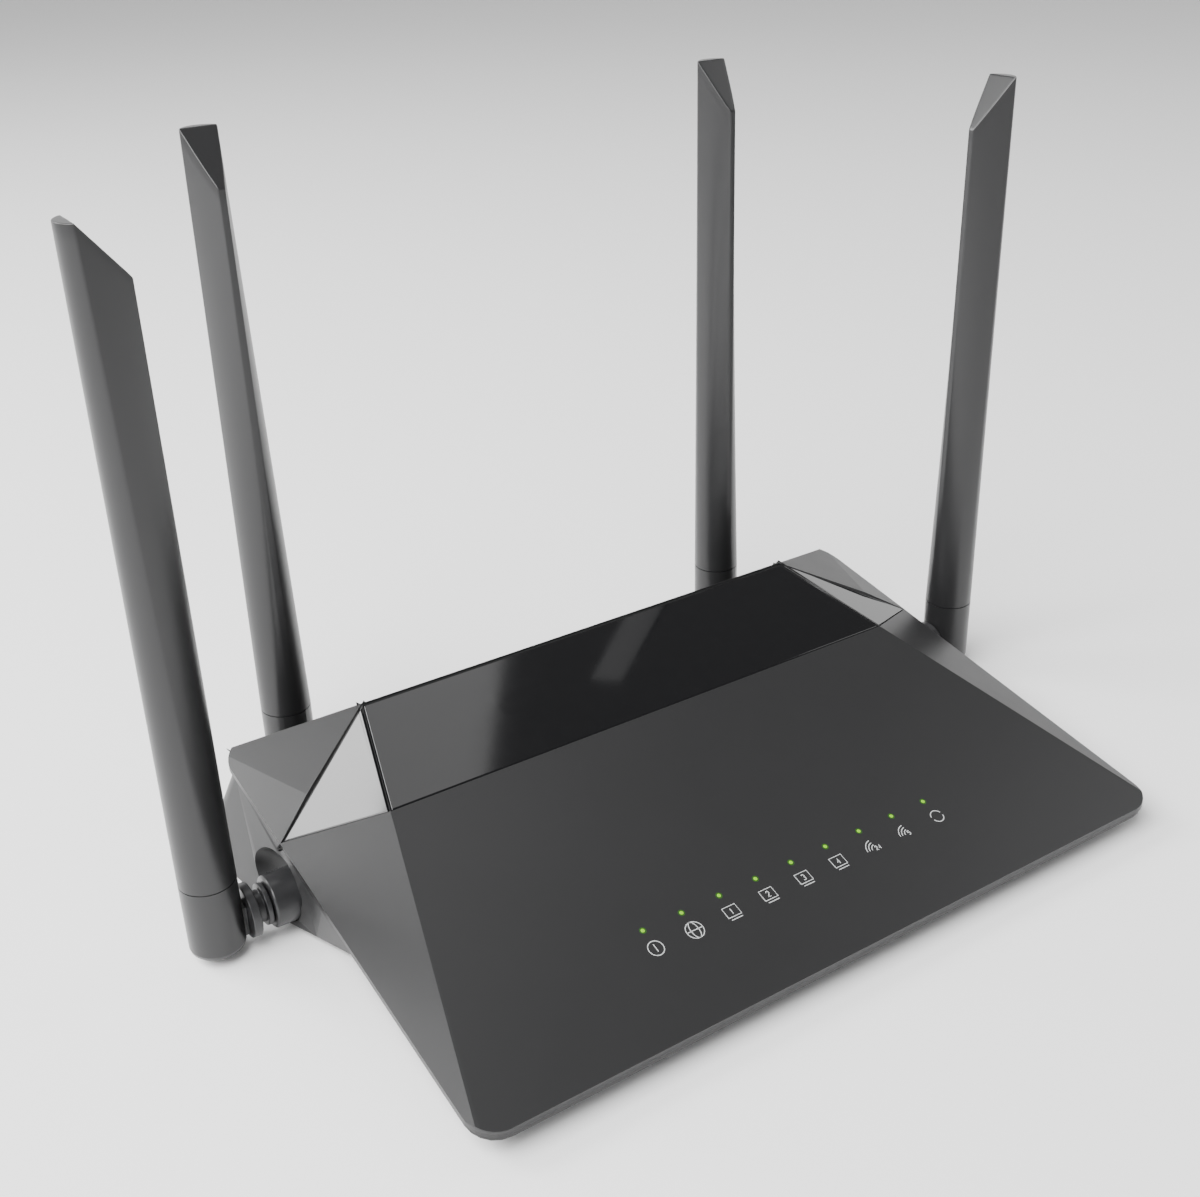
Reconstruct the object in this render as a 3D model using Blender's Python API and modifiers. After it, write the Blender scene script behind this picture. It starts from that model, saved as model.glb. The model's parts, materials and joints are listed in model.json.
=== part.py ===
"""Wireless router with four tilting antennas. Metres, +Z up, front towards -Y, standing on z = 0."""
import math

import bmesh
import bpy
import numpy as np
from mathutils import Matrix, Vector

# Cover. Y is counted from its front edge
HALF_WIDTH = 0.1145
DEPTH = 0.1495
RIM_FRONT_Z = 0.0090
RIM_RISE = 0.1717
FRONT_SLOPE = 0.2935
SIDE_SLOPE = 0.424
CORNER_SLOPE = 0.500
RIDGE_Y = 0.1299
SEAM_X = 0.0882
SEAM_Y = 0.0916
SEAM_END_Y = 0.1071
CREST_SHARE = 0.68
CORNER_RADIUS = 0.0085
COVER_LIP = 0.0016
COVER_WALL = 0.0026
PANEL_THICKNESS = 0.0009
PANEL_RECESS = 0.0012
GAP = 0.0003
GROOVE = 0.0004
RIDGE_LAND = 0.0009
TRIANGLE_LAND = 0.0006

# Lights on the front slope
LED_COUNT = 9
LED_FIRST_X = -0.0489
LED_PITCH = 0.01226
LED_Y = 0.03015
LED_PIN_RADIUS = 0.0008
LED_HOLE_RADIUS = 0.0011

# Case
CASE_BOTTOM = 0.0010
CASE_WALL = 0.0022
CASE_LIP_INSET = 0.0005
CASE_LIP_HEIGHT = 0.0013
SOLE_FRONT = (0.0820, 0.0140)
SOLE_BEND = (0.1162, 0.1065)
SOLE_BACK = (0.1236, 0.1580)
FOOT_PLACES = ((-0.074, 0.030), (0.074, 0.030), (-0.108, 0.141), (0.108, 0.141))
FOOT_RADIUS = 0.0060
SCREW_PLACES = ((-0.0870, 0.050), (0.0870, 0.050), (-0.101, 0.125), (0.101, 0.125))
COVER_POST_RADIUS = 0.0034
CASE_POST_RADIUS = 0.0044
POST_TOP = 0.0060
PILOT_RADIUS = 0.0017
PILOT_TOP = 0.0140
SHANK_HOLE_RADIUS = 0.0018
HEAD_BORE_RADIUS = 0.0033
HEAD_BORE_TOP = 0.0042
HEAD_RADIUS = 0.0029
HEAD_Z = (0.0016, 0.0039)
SHANK_RADIUS = 0.0013
SHANK_TOP = 0.0130
SLOT_HALF = (0.0016, 0.0003)
SLOT_TOP = 0.0027
VENT_COUNT = 9
VENT_PITCH = 0.010
VENT_HALF = (0.0014, 0.013)
VENT_ROWS = (0.062, 0.100)

# Scoop in the case's side round each side collar, and the wall left behind it
SCOOP_MIDDLE = (0.1220, 0.1095, 0.0140)
SCOOP_HALF = (0.0125, 0.0150, 0.0098)
SCOOP_WALL = 0.0020

# Board and sockets
BOARD_Z = 0.0045
BOARD_THICKNESS = 0.0016
BOARD_TOP = BOARD_Z + BOARD_THICKNESS
BOARD_HALF_WIDTH = 0.0770
PANEL_Y = 0.1504
PANEL_PLATE = 0.0012
PANEL_FACE = PANEL_Y + PANEL_PLATE
SOCKET_COUNT = 5
SOCKET_PITCH = 0.0170
SOCKET_FIRST_X = -0.0380
SOCKET_SIZE = (0.0160, 0.0170, 0.0132)
SOCKET_MOUTH = (0.0118, 0.0140, 0.0080)
SOCKET_SILL = 0.0022
BAY_X = (-0.0680, 0.0730)
BAY_Z = (0.0034, 0.0224)
DC_X = 0.0470
DC_SIZE = (0.0090, 0.0140, 0.0110)
POWER_X = 0.0620
WPS_X = -0.0570
PORT_Z = BOARD_TOP + GAP
BUTTON_REACH = 0.0030
BUTTON_CLEARANCE = 0.0027
SWITCH_DEPTH = 0.0075
SWITCH_RISE = 0.0034
SINK_SIZE = (0.020, 0.020, 0.008)
SINK_BASE = 0.0018
SINK_SLOTS = 5
SINK_SLOT_WIDTH = 0.0020
SINK_FIN_WIDTH = 0.0014
LEAD_RADIUS = 0.0006
LEAD_LAND_SIDE = (0.066, 0.108)
LEAD_LAND_REAR = (0.058, 0.112)
LEAD_POINTS = 18
# Each button as name, X, Z, radius, how far it stands out, half width of its switch
BUTTONS = (
    ("power", POWER_X, PORT_Z + 0.0058, 0.0042, 0.0035, 0.0041),
    ("wps", WPS_X, PORT_Z + 0.0040, 0.0027, 0.0020, 0.0031),
)

# Antennas. Distances along the stub are counted from the foot's centre line towards the case
STUB_Z_SIDE = 0.0102
STUB_Z_REAR = 0.0132
PIVOT_OUT = 0.0007
PIVOT_DROP = 0.0017
SIDE_ANTENNA = (0.1355, 0.1073)
REAR_ANTENNA = (0.0843, 0.1738)
FOOT_TUBE_RADIUS = 0.0077
FOOT_BOTTOM = -0.0060
FOOT_EDGE_RADIUS = 0.0020
FOOT_HEEL_RADIUS = 0.0045
FOOT_SEAM_RISE = 0.0163
BLADE_TOP_RISE = 0.1911
BLADE_CUT_DROP = 0.0143
TONGUE_HALF = 0.0025
TONGUE_RADIUS = 0.0045
PIN_RADIUS = 0.0015
PIN_HALF_LENGTH = 0.0065
FLANGE_START = 0.0083
FLANGE_END = 0.0108
RING_START = 0.0132
COLLAR_START = 0.0150
COLLAR_END = 0.0285
COLLAR_RADIUS = 0.0075
COLLAR_EDGE = 0.0005
FLANGE_RADIUS = 0.00765
NECK_RADIUS = 0.0046
RING_RADIUS = 0.0060
SHAFT_RADIUS = 0.0038
BORE_SPACE = 0.0001
BLADE_BORE_RADIUS = 0.0026
ELEMENT_RADIUS = 0.0012
ELEMENT_TOP = 0.140

# The blade's tip section: an arc on the outside, two flanks and a narrow inner face
TIP_ARC_RADIUS = 0.00603
TIP_ARC_CENTRE = 0.00142
TIP_HALF_CHORD = 0.0053
TIP_HALF_INNER = 0.0009
TIP_INNER = -0.0073
ARC_TURN = 80
FLANK_TURN = 92

# How far the finished object moves so that the origin is under the middle of its box
CENTRE_Y = 0.09075

ROUTER = "wireless_router"
CUTTERS = "cutters"


def clear_scene():
    for obj in list(bpy.data.objects):
        bpy.data.objects.remove(obj, do_unlink=True)


def new_collection(name):
    collection = bpy.data.collections.new(name)
    bpy.context.scene.collection.children.link(collection)
    return collection


def material(name, colour, roughness, metallic=0.0):
    made = bpy.data.materials.new(name)
    made.use_nodes = True
    shader = made.node_tree.nodes["Principled BSDF"]
    shader.inputs["Base Color"].default_value = (*colour, 1.0)
    shader.inputs["Roughness"].default_value = roughness
    shader.inputs["Metallic"].default_value = metallic
    return made


def place(name, mesh, finish=None, cutter=False):
    """Puts a mesh into the scene as a part, or as a hidden cutter."""
    obj = bpy.data.objects.new(name, mesh)
    bpy.data.collections[CUTTERS if cutter else ROUTER].objects.link(obj)
    if cutter:
        obj.hide_render = True
        obj.display_type = "WIRE"
    if finish:
        mesh.materials.append(finish)
    return obj


def mesh_of(name, build):
    """A new mesh filled by build(bm), with its normals pointing out."""
    bm = bmesh.new()
    build(bm)
    bmesh.ops.recalc_face_normals(bm, faces=bm.faces)
    mesh = bpy.data.meshes.new(name)
    bm.to_mesh(mesh)
    bm.free()
    return mesh


def add_box(bm, low, high):
    low = Vector(low)
    high = Vector(high)
    size = Matrix.Diagonal((*(high - low), 1.0))
    bmesh.ops.create_cube(bm, size=1.0, matrix=Matrix.Translation((low + high) / 2) @ size)


def add_cylinder(bm, start, end, radius, segments=24, end_radius=None):
    start = Vector(start)
    end = Vector(end)
    turn = (end - start).to_track_quat("Z", "Y").to_matrix().to_4x4()
    bmesh.ops.create_cone(
        bm,
        cap_ends=True,
        segments=segments,
        radius1=radius,
        radius2=radius if end_radius is None else end_radius,
        depth=(end - start).length,
        matrix=Matrix.Translation((start + end) / 2) @ turn,
    )


def add_loft(bm, rings):
    """Closed skin through rings of equal count, capped at both ends."""
    made = [[bm.verts.new(point) for point in ring] for ring in rings]
    count = len(made[0])
    for lower, upper in zip(made, made[1:]):
        for i in range(count):
            j = (i + 1) % count
            bm.faces.new((lower[i], lower[j], upper[j], upper[i]))
    bm.faces.new(made[0][::-1])
    bm.faces.new(made[-1])


def box(name, low, high, finish=None, cutter=False):
    return place(name, mesh_of(name, lambda bm: add_box(bm, low, high)), finish, cutter)


def cylinder(name, start, end, radius, finish=None, cutter=False, segments=24):
    mesh = mesh_of(name, lambda bm: add_cylinder(bm, start, end, radius, segments))
    if not cutter:
        shade(mesh)
    return place(name, mesh, finish, cutter)


def shade(mesh):
    mesh.shade_smooth()
    mesh.set_sharp_from_angle(angle=math.radians(35))


def boolean(obj, other, operation="DIFFERENCE"):
    step = obj.modifiers.new(other.name, "BOOLEAN")
    step.operation = operation
    step.object = other
    step.solver = "EXACT"


def applied(obj):
    """Replaces the object's mesh by its evaluated one, so that it can be cut or shared afterwards."""
    bpy.context.view_layer.update()
    graph = bpy.context.evaluated_depsgraph_get()
    mesh = bpy.data.meshes.new_from_object(obj.evaluated_get(graph))
    obj.modifiers.clear()
    obj.data = mesh
    return obj


def chamfer(obj, width, segments=1):
    step = obj.modifiers.new("edges", "BEVEL")
    step.width = width
    step.segments = segments
    step.limit_method = "ANGLE"
    step.angle_limit = math.radians(40)


def rim_z(y):
    return RIM_FRONT_Z + RIM_RISE * y


# The roof's planes, each as (height at the origin, slope along X, slope along Y)
def roof_planes(side):
    front = (RIM_FRONT_Z, 0.0, FRONT_SLOPE)
    flank = (RIM_FRONT_Z + SIDE_SLOPE * HALF_WIDTH, -side * SIDE_SLOPE, RIM_RISE)
    ridge_z = RIM_FRONT_Z + FRONT_SLOPE * RIDGE_Y
    back_slope = (ridge_z - rim_z(DEPTH)) / (RIDGE_Y - DEPTH)
    back = (ridge_z - back_slope * RIDGE_Y, 0.0, back_slope)
    corner = (RIM_FRONT_Z + CORNER_SLOPE * HALF_WIDTH, -side * CORNER_SLOPE, RIM_RISE)
    return front, flank, back, corner


def height(plane, x, y):
    return plane[0] + plane[1] * x + plane[2] * y


def ridge_x():
    """How far from the middle the front, flank and back planes meet."""
    ridge_z = RIM_FRONT_Z + FRONT_SLOPE * RIDGE_Y
    return HALF_WIDTH - (ridge_z - rim_z(RIDGE_Y)) / SIDE_SLOPE


def roof_points(side):
    """Corner points of one half of the faceted roof."""
    front, flank, back, corner = roof_planes(side)
    apex = (side * ridge_x(), RIDGE_Y, height(front, 0.0, RIDGE_Y))
    seam = (side * SEAM_X, SEAM_Y, height(front, 0.0, SEAM_Y))
    seam_end = (side * HALF_WIDTH, SEAM_END_Y, rim_z(SEAM_END_Y))
    crest = Vector(apex).lerp(Vector(seam_end), CREST_SHARE)
    crest.z = height(corner, crest.x, crest.y)
    return {
        "front": (side * HALF_WIDTH, 0.0, rim_z(0.0)),
        "back": (side * HALF_WIDTH, DEPTH, rim_z(DEPTH)),
        "apex": apex,
        "seam": seam,
        "seam_end": seam_end,
        "crest": tuple(crest),
    }


def cover_blank():
    """The solid block under the facets, down to the lip's lower edge."""
    left = roof_points(-1)
    right = roof_points(1)

    def build(bm):
        made = {}

        def at(side, key, drop=0.0):
            name = (side, key, drop)
            if name not in made:
                x, y, z = (left if side < 0 else right)[key]
                made[name] = bm.verts.new((x, y, z - drop))
            return made[name]

        def face(*keys):
            bm.faces.new([at(*key) for key in keys])

        face((-1, "front"), (1, "front"), (1, "seam"), (-1, "seam"))
        face((-1, "seam"), (1, "seam"), (1, "apex"), (-1, "apex"))
        face((-1, "apex"), (1, "apex"), (1, "back"), (-1, "back"))
        for side in (-1, 1):
            face((side, "front"), (side, "seam"), (side, "seam_end"))
            face((side, "seam"), (side, "apex"), (side, "seam_end"))
            face((side, "apex"), (side, "crest"), (side, "seam_end"))
            face((side, "apex"), (side, "back"), (side, "crest"))
            face((side, "crest"), (side, "back"), (side, "seam_end"))
            face(
                (side, "front"),
                (side, "seam_end"),
                (side, "back"),
                (side, "back", COVER_LIP),
                (side, "front", COVER_LIP),
            )
        for end in ("front", "back"):
            face((-1, end), (1, end), (1, end, COVER_LIP), (-1, end, COVER_LIP))
        face(
            (-1, "front", COVER_LIP),
            (1, "front", COVER_LIP),
            (1, "back", COVER_LIP),
            (-1, "back", COVER_LIP),
        )

    return mesh_of("top_cover", build)


def corner_cutter(side, y, towards):
    """A vertical prism outside the quarter circle that rounds one corner in plan."""
    margin = 0.002
    x = side * HALF_WIDTH
    outline = []
    steps = 7
    for i in range(steps + 1):
        angle = math.pi / 2 * i / steps
        outline.append(
            (
                x - side * CORNER_RADIUS * (1 - math.sin(angle)),
                y + towards * CORNER_RADIUS * (1 - math.cos(angle)),
            )
        )
    outline.append((x + side * margin, outline[-1][1]))
    outline.append((x + side * margin, y - towards * margin))
    outline.append((outline[0][0], y - towards * margin))
    rings = [[(px, py, z) for px, py in outline] for z in (-0.01, 0.08)]
    name = f"corner_cutter_{side}_{towards}"
    return place(name, mesh_of(name, lambda bm: add_loft(bm, rings)), cutter=True)


def cover_hollow():
    """Inside of the cover: the three main planes lowered by the wall, open underneath."""
    front, _, back, _ = roof_planes(-1)
    x_edge = HALF_WIDTH - COVER_WALL
    edge_rise = SIDE_SLOPE * COVER_WALL
    y_front = edge_rise / (FRONT_SLOPE - RIM_RISE)
    y_back = (back[0] - RIM_FRONT_Z - edge_rise) / (RIM_RISE - back[2]) - COVER_WALL
    y_ridge = RIDGE_Y - COVER_WALL / 2
    x_ridge = HALF_WIDTH - (height(front, 0.0, y_ridge) - rim_z(y_ridge)) / SIDE_SLOPE
    floor = 0.006

    def build(bm):
        points = []
        for side in (-1, 1):
            points.append((side * x_ridge, y_ridge, height(front, 0.0, y_ridge) - COVER_WALL))
            for y in (y_front, y_back):
                points.append((side * x_edge, y, rim_z(y) + edge_rise - COVER_WALL))
                points.append((side * x_edge, y, rim_z(y) - floor))
        verts = [bm.verts.new(point) for point in points]
        bmesh.ops.convex_hull(bm, input=verts)

    return place("cover_hollow", mesh_of("cover_hollow", build), cutter=True)


def shrunk(outline, inset):
    """Moves each side of a plan polygon inwards by its own inset."""
    points = [Vector(point[:2]) for point in outline]
    area = sum(a.x * b.y - b.x * a.y for a, b in zip(points, points[1:] + points[:1]))
    turn = 1.0 if area > 0 else -1.0
    count = len(points)
    sides = []
    for i in range(count):
        along = (points[(i + 1) % count] - points[i]).normalized()
        inwards = Vector((-along.y, along.x)) * turn
        sides.append((points[i] + inwards * inset[i], along))
    moved = []
    for i in range(count):
        (p, d), (q, e) = sides[i - 1], sides[i]
        cross = d.x * e.y - d.y * e.x
        moved.append(p + d * (((q - p).x * e.y - (q - p).y * e.x) / cross))
    return moved


def slab(name, outline, plane, top, bottom, finish=None, cutter=False):
    """A plate with a plan outline whose faces follow a roof plane."""
    rings = [[(p.x, p.y, height(plane, p.x, p.y) + z) for p in outline] for z in (bottom, top)]
    return place(name, mesh_of(name, lambda bm: add_loft(bm, rings)), finish, cutter)


def panel_outlines():
    """Plan outline, roof plane and side insets of the three gloss panels."""
    left = roof_points(-1)
    right = roof_points(1)
    edge = GAP
    centre = [left["seam"], right["seam"], right["apex"], left["apex"]]
    found = [("gloss_panel_centre", centre, roof_planes(1)[0], (edge, GROOVE, RIDGE_LAND, GROOVE))]
    for side, name, points in ((-1, "gloss_panel_left", left), (1, "gloss_panel_right", right)):
        outline = [points["seam"], points["apex"], points["seam_end"]]
        found.append((name, outline, roof_planes(side)[1], (GROOVE, TRIANGLE_LAND, edge)))
    return found


def led_xs():
    return [LED_FIRST_X + LED_PITCH * i for i in range(LED_COUNT)]


def post_top(x, y):
    """How high a screw post may rise: to the middle of the wall above it."""
    under_front = height(roof_planes(1)[0], 0.0, y)
    under_flank = rim_z(y) + SIDE_SLOPE * (HALF_WIDTH - abs(x))
    return min(under_front, under_flank) - 0.6 * COVER_WALL


def make_cover(matt, gloss):
    cover = place("top_cover", cover_blank(), matt)
    for side in (-1, 1):
        boolean(cover, corner_cutter(side, 0.0, 1))
        boolean(cover, corner_cutter(side, DEPTH, -1))
    boolean(cover, cover_hollow())

    def build_posts(bm):
        for x, y in SCREW_PLACES:
            add_cylinder(bm, (x, y, POST_TOP + GAP), (x, y, post_top(x, y)), COVER_POST_RADIUS, 16)

    def build_pilots(bm):
        for x, y in SCREW_PLACES:
            add_cylinder(bm, (x, y, POST_TOP - 0.001), (x, y, PILOT_TOP), PILOT_RADIUS, 12)

    def build_holes(bm):
        for x in led_xs():
            add_cylinder(bm, (x, LED_Y, 0.010), (x, LED_Y, 0.030), LED_HOLE_RADIUS, 12)

    for name, build, operation in (
        ("cover_posts", build_posts, "UNION"),
        ("cover_pilots", build_pilots, "DIFFERENCE"),
        ("led_holes", build_holes, "DIFFERENCE"),
    ):
        boolean(cover, place(name, mesh_of(name, build), cutter=True), operation)
    for name, outline, plane, inset in panel_outlines():
        land = [size - GAP for size in inset]
        recess = slab(f"{name}_recess", shrunk(outline, land), plane, 0.004, -PANEL_RECESS, cutter=True)
        boolean(cover, recess)
        slab(name, shrunk(outline, inset), plane, 0.0, -PANEL_THICKNESS, gloss)
    applied(cover)


def make_light_guide(clear):
    """One clear bar on the board with a pin under each mark on the cover."""
    xs = led_xs()
    slope_z = height(roof_planes(1)[0], 0.0, LED_Y)

    def build_pins(bm):
        for x in xs:
            add_cylinder(bm, (x, LED_Y, BOARD_TOP + 0.0030), (x, LED_Y, slope_z - 0.0004), LED_PIN_RADIUS, 12)

    low = (xs[0] - 0.004, LED_Y - 0.0022, BOARD_TOP + 0.0016)
    high = (xs[-1] + 0.004, LED_Y + 0.0022, BOARD_TOP + 0.0042)
    guide = box("led_light_guide", low, high, clear)
    pins = place("light_pins", mesh_of("light_pins", build_pins), cutter=True)
    boolean(guide, pins, "UNION")
    applied(guide)


def arc_points(cx, cy, radius, start, stop, steps):
    for i in range(steps + 1):
        angle = math.radians(start + (stop - start) * i / steps)
        yield cx + radius * math.cos(angle), cy + radius * math.sin(angle)


def mirrored(half):
    """A closed plan outline from the points of its left half, front to back."""
    return half + [(-x, y) for x, y in reversed(half)]


def lip_outline(inset):
    """Rounded rectangle under the cover's edge, left half mirrored."""
    x = -(HALF_WIDTH - inset)
    r = CORNER_RADIUS - inset
    half = list(arc_points(x + r, inset + r, r, 270, 180, 5))
    half += [(x, 0.084), (x, 0.096), (x, 0.1075)]
    half += list(arc_points(x + r, DEPTH - inset - r, r, 180, 90, 5))
    return mirrored(half)


def fillet(corner, before, after, radius, steps):
    """Points of the arc that rounds one plan corner, given the points before and after it."""
    corner, before, after = Vector(corner), Vector(before), Vector(after)
    along = (before - corner).normalized()
    away = (after - corner).normalized()
    half = along.angle(away) / 2
    middle = corner + (along + away).normalized() * (radius / math.sin(half))
    start = (corner + along * (radius / math.tan(half)) - middle).normalized()
    stop = (corner + away * (radius / math.tan(half)) - middle).normalized()
    for i in range(steps + 1):
        yield tuple(middle + start.slerp(stop, i / steps) * radius)


def sole_outline(inset):
    """The case's outline on its underside, matched point by point to the lip outline."""
    front, bend, back = (Vector((-p[0] + inset, p[1])) for p in (SOLE_FRONT, SOLE_BEND, SOLE_BACK))
    front.y += inset
    back.y -= inset
    half = list(fillet(front, (0.0, front.y), bend, 0.008, 5))
    half += [tuple(front.lerp(bend, 0.75)), tuple(front.lerp(bend, 0.88)), tuple(bend)]
    half += list(fillet(back, bend, (0.0, back.y), 0.008, 5))
    return mirrored(half)


def make_case(dark):
    lip_top = COVER_LIP + GAP
    lip_bottom = lip_top + CASE_LIP_HEIGHT

    def ring(outline, drop=None, z=0.0):
        return [(x, y, rim_z(y) - drop if drop is not None else z) for x, y in outline]

    def outer(bm):
        lip = lip_outline(CASE_LIP_INSET)
        wall = lip_outline(CASE_LIP_INSET + 0.0006)
        add_loft(
            bm,
            [
                ring(lip, drop=lip_top),
                ring(lip, drop=lip_bottom),
                ring(wall, drop=lip_bottom + 0.0004),
                ring(sole_outline(0.0), z=CASE_BOTTOM + 0.0012),
                ring(sole_outline(0.0012), z=CASE_BOTTOM),
            ],
        )

    def inner(bm):
        wall = lip_outline(CASE_LIP_INSET + 0.0006 + CASE_WALL)
        add_loft(
            bm,
            [
                ring(wall, drop=-0.004),
                ring(wall, drop=lip_bottom),
                ring(sole_outline(CASE_WALL), z=CASE_BOTTOM + CASE_WALL),
            ],
        )

    def scoops(bm, grown=0.0):
        for side in (-1, 1):
            middle = Matrix.Translation((side * SCOOP_MIDDLE[0], *SCOOP_MIDDLE[1:]))
            size = Matrix.Diagonal((*(half + grown for half in SCOOP_HALF), 1.0))
            bmesh.ops.create_uvsphere(bm, u_segments=48, v_segments=24, radius=1.0, matrix=middle @ size)

    def scoop_backs(bm):
        scoops(bm, SCOOP_WALL)

    case = place("bottom_case", mesh_of("bottom_case", outer), dark)
    hollow = place("case_hollow", mesh_of("case_hollow", inner), cutter=True)
    boolean(hollow, place("scoop_backs", mesh_of("scoop_backs", scoop_backs), cutter=True))
    boolean(case, hollow)

    def posts(bm):
        for x, y in SCREW_PLACES:
            add_cylinder(bm, (x, y, CASE_BOTTOM + CASE_WALL / 4), (x, y, POST_TOP), CASE_POST_RADIUS, 16)

    def bores(bm):
        for x, y in SCREW_PLACES:
            add_cylinder(bm, (x, y, -0.001), (x, y, HEAD_BORE_TOP), HEAD_BORE_RADIUS, 16)

    def shank_holes(bm):
        for x, y in SCREW_PLACES:
            add_cylinder(bm, (x, y, HEAD_BORE_TOP - 0.001), (x, y, POST_TOP + 0.003), SHANK_HOLE_RADIUS, 12)

    def vents(bm):
        half_x, half_y = VENT_HALF
        for row in VENT_ROWS:
            for i in range(VENT_COUNT):
                x = VENT_PITCH * (i - (VENT_COUNT - 1) / 2)
                add_box(bm, (x - half_x, row - half_y, -0.001), (x + half_x, row + half_y, 0.006))

    def stub_holes(bm):
        for frame in antenna_frames():
            ends = (stub_point(frame, COLLAR_START), stub_point(frame, COLLAR_END + 0.004))
            add_cylinder(bm, *ends, COLLAR_RADIUS + GAP, 32)

    for name, build, operation in (
        ("case_posts", posts, "UNION"),
        ("case_bores", bores, "DIFFERENCE"),
        ("case_shank_holes", shank_holes, "DIFFERENCE"),
        ("case_vents", vents, "DIFFERENCE"),
        ("case_scoops", scoops, "DIFFERENCE"),
        ("case_stub_holes", stub_holes, "DIFFERENCE"),
    ):
        boolean(case, place(name, mesh_of(name, build), cutter=True), operation)
    low = (BAY_X[0], PANEL_Y - 0.006, BAY_Z[0])
    high = (BAY_X[1], SOLE_BACK[1] + 0.007, BAY_Z[1])
    boolean(case, box("case_bay", low, high, cutter=True))
    applied(case)


def make_fixings(rubber, steel):
    for number, (x, y) in enumerate(FOOT_PLACES, 1):
        ends = ((x, y, 0.0), (x, y, CASE_BOTTOM - GAP))
        foot = cylinder(f"rubber_foot_{number}", *ends, FOOT_RADIUS, rubber)
        chamfer(foot, 0.0004)
    for number, (x, y) in enumerate(SCREW_PLACES, 1):
        low, high = HEAD_Z
        screw = cylinder(f"case_screw_{number}", (x, y, low), (x, y, high), HEAD_RADIUS, steel, segments=20)
        ends = ((x, y, high - 0.001), (x, y, SHANK_TOP))
        shank = cylinder(f"screw_shank_{number}", *ends, SHANK_RADIUS, cutter=True, segments=12)
        boolean(screw, shank, "UNION")
        for suffix, half_x, half_y in (("a", *SLOT_HALF), ("b", *SLOT_HALF[::-1])):
            corners = ((x - half_x, y - half_y, low - 0.001), (x + half_x, y + half_y, SLOT_TOP))
            boolean(screw, box(f"screw_slot_{number}_{suffix}", *corners, cutter=True))
        applied(screw)


def socket_xs():
    return [SOCKET_FIRST_X + SOCKET_PITCH * i for i in range(SOCKET_COUNT)]


def make_board(green, chip, metal, sink_finish):
    low = (-BOARD_HALF_WIDTH, 0.024, BOARD_Z)
    box("main_board", low, (BOARD_HALF_WIDTH, 0.1480, BOARD_TOP), green)
    lift = BOARD_TOP + GAP
    chips = (
        ("main_processor", (-0.008, 0.078), (0.008, 0.008), 0.0014, chip),
        ("memory_chip", (0.018, 0.079), (0.0065, 0.0050), 0.0011, chip),
        ("flash_chip", (0.020, 0.097), (0.0040, 0.0040), 0.0016, chip),
        ("radio_shield_low_band", (-0.052, 0.094), (0.0140, 0.0110), 0.0030, metal),
        ("radio_shield_high_band", (0.052, 0.090), (0.0140, 0.0110), 0.0030, metal),
    )
    for name, (x, y), (half_x, half_y), rise, finish in chips:
        piece = box(name, (x - half_x, y - half_y, lift), (x + half_x, y + half_y, lift + rise), finish)
        chamfer(piece, 0.0002)
    processor = chips[0]
    x, y = processor[1]
    half_x, half_y, tall = SINK_SIZE[0] / 2, SINK_SIZE[1] / 2, SINK_SIZE[2]
    base = lift + processor[3] + GAP
    corners = ((x - half_x, y - half_y, base), (x + half_x, y + half_y, base + tall))
    sink = box("heat_sink", *corners, sink_finish)

    def slots(bm):
        pitch = SINK_SLOT_WIDTH + SINK_FIN_WIDTH
        first = x - (SINK_SLOTS * pitch - SINK_FIN_WIDTH) / 2
        for i in range(SINK_SLOTS):
            low = (first + pitch * i, y - half_y - 0.001, base + SINK_BASE)
            high = (low[0] + SINK_SLOT_WIDTH, y + half_y + 0.001, base + tall + 0.001)
            add_box(bm, low, high)

    boolean(sink, place("sink_slots", mesh_of("sink_slots", slots), cutter=True))
    applied(sink)


def make_sockets(dark, jack_finish):
    """Five network sockets in a row, their mouths in the rear panel, and the power inlet beside them."""
    half_w = SOCKET_SIZE[0] / 2
    mouth_half, mouth_depth, mouth_tall = SOCKET_MOUTH[0] / 2, SOCKET_MOUTH[1], SOCKET_MOUTH[2]
    sill = PORT_Z + SOCKET_SILL
    lintel = sill + mouth_tall
    for number, x in enumerate(socket_xs()):
        name = f"lan_socket_{number}" if number else "wan_socket"
        low = (x - half_w, PANEL_FACE - SOCKET_SIZE[1], PORT_Z)
        body = box(name, low, (x + half_w, PANEL_FACE, PORT_Z + SOCKET_SIZE[2]), dark)
        low = (x - mouth_half, PANEL_FACE - mouth_depth, sill)
        boolean(body, box(f"{name}_mouth", low, (x + mouth_half, PANEL_FACE + 0.001, lintel), cutter=True))
        low = (x - 0.0032, PANEL_FACE - 0.006, lintel - 0.001)
        high = (x + 0.0032, PANEL_FACE + 0.001, lintel + 0.0016)
        boolean(body, box(f"{name}_latch", low, high, cutter=True))
        applied(body)

    centre_z = PORT_Z + DC_SIZE[2] / 2
    low = (DC_X - DC_SIZE[0] / 2, PANEL_FACE - DC_SIZE[1], PORT_Z)
    jack = box("dc_jack", low, (DC_X + DC_SIZE[0] / 2, PANEL_FACE, PORT_Z + DC_SIZE[2]), jack_finish)

    def along(name, start, stop, radius, segments):
        ends = ((DC_X, PANEL_FACE + start, centre_z), (DC_X, PANEL_FACE + stop, centre_z))
        return cylinder(name, *ends, radius, cutter=True, segments=segments)

    boolean(jack, along("dc_barrel", -0.0095, 0.001, 0.0031, 24))
    boolean(jack, along("dc_pin", -0.0110, -0.0015, 0.00105, 12), "UNION")
    applied(jack)


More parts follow.
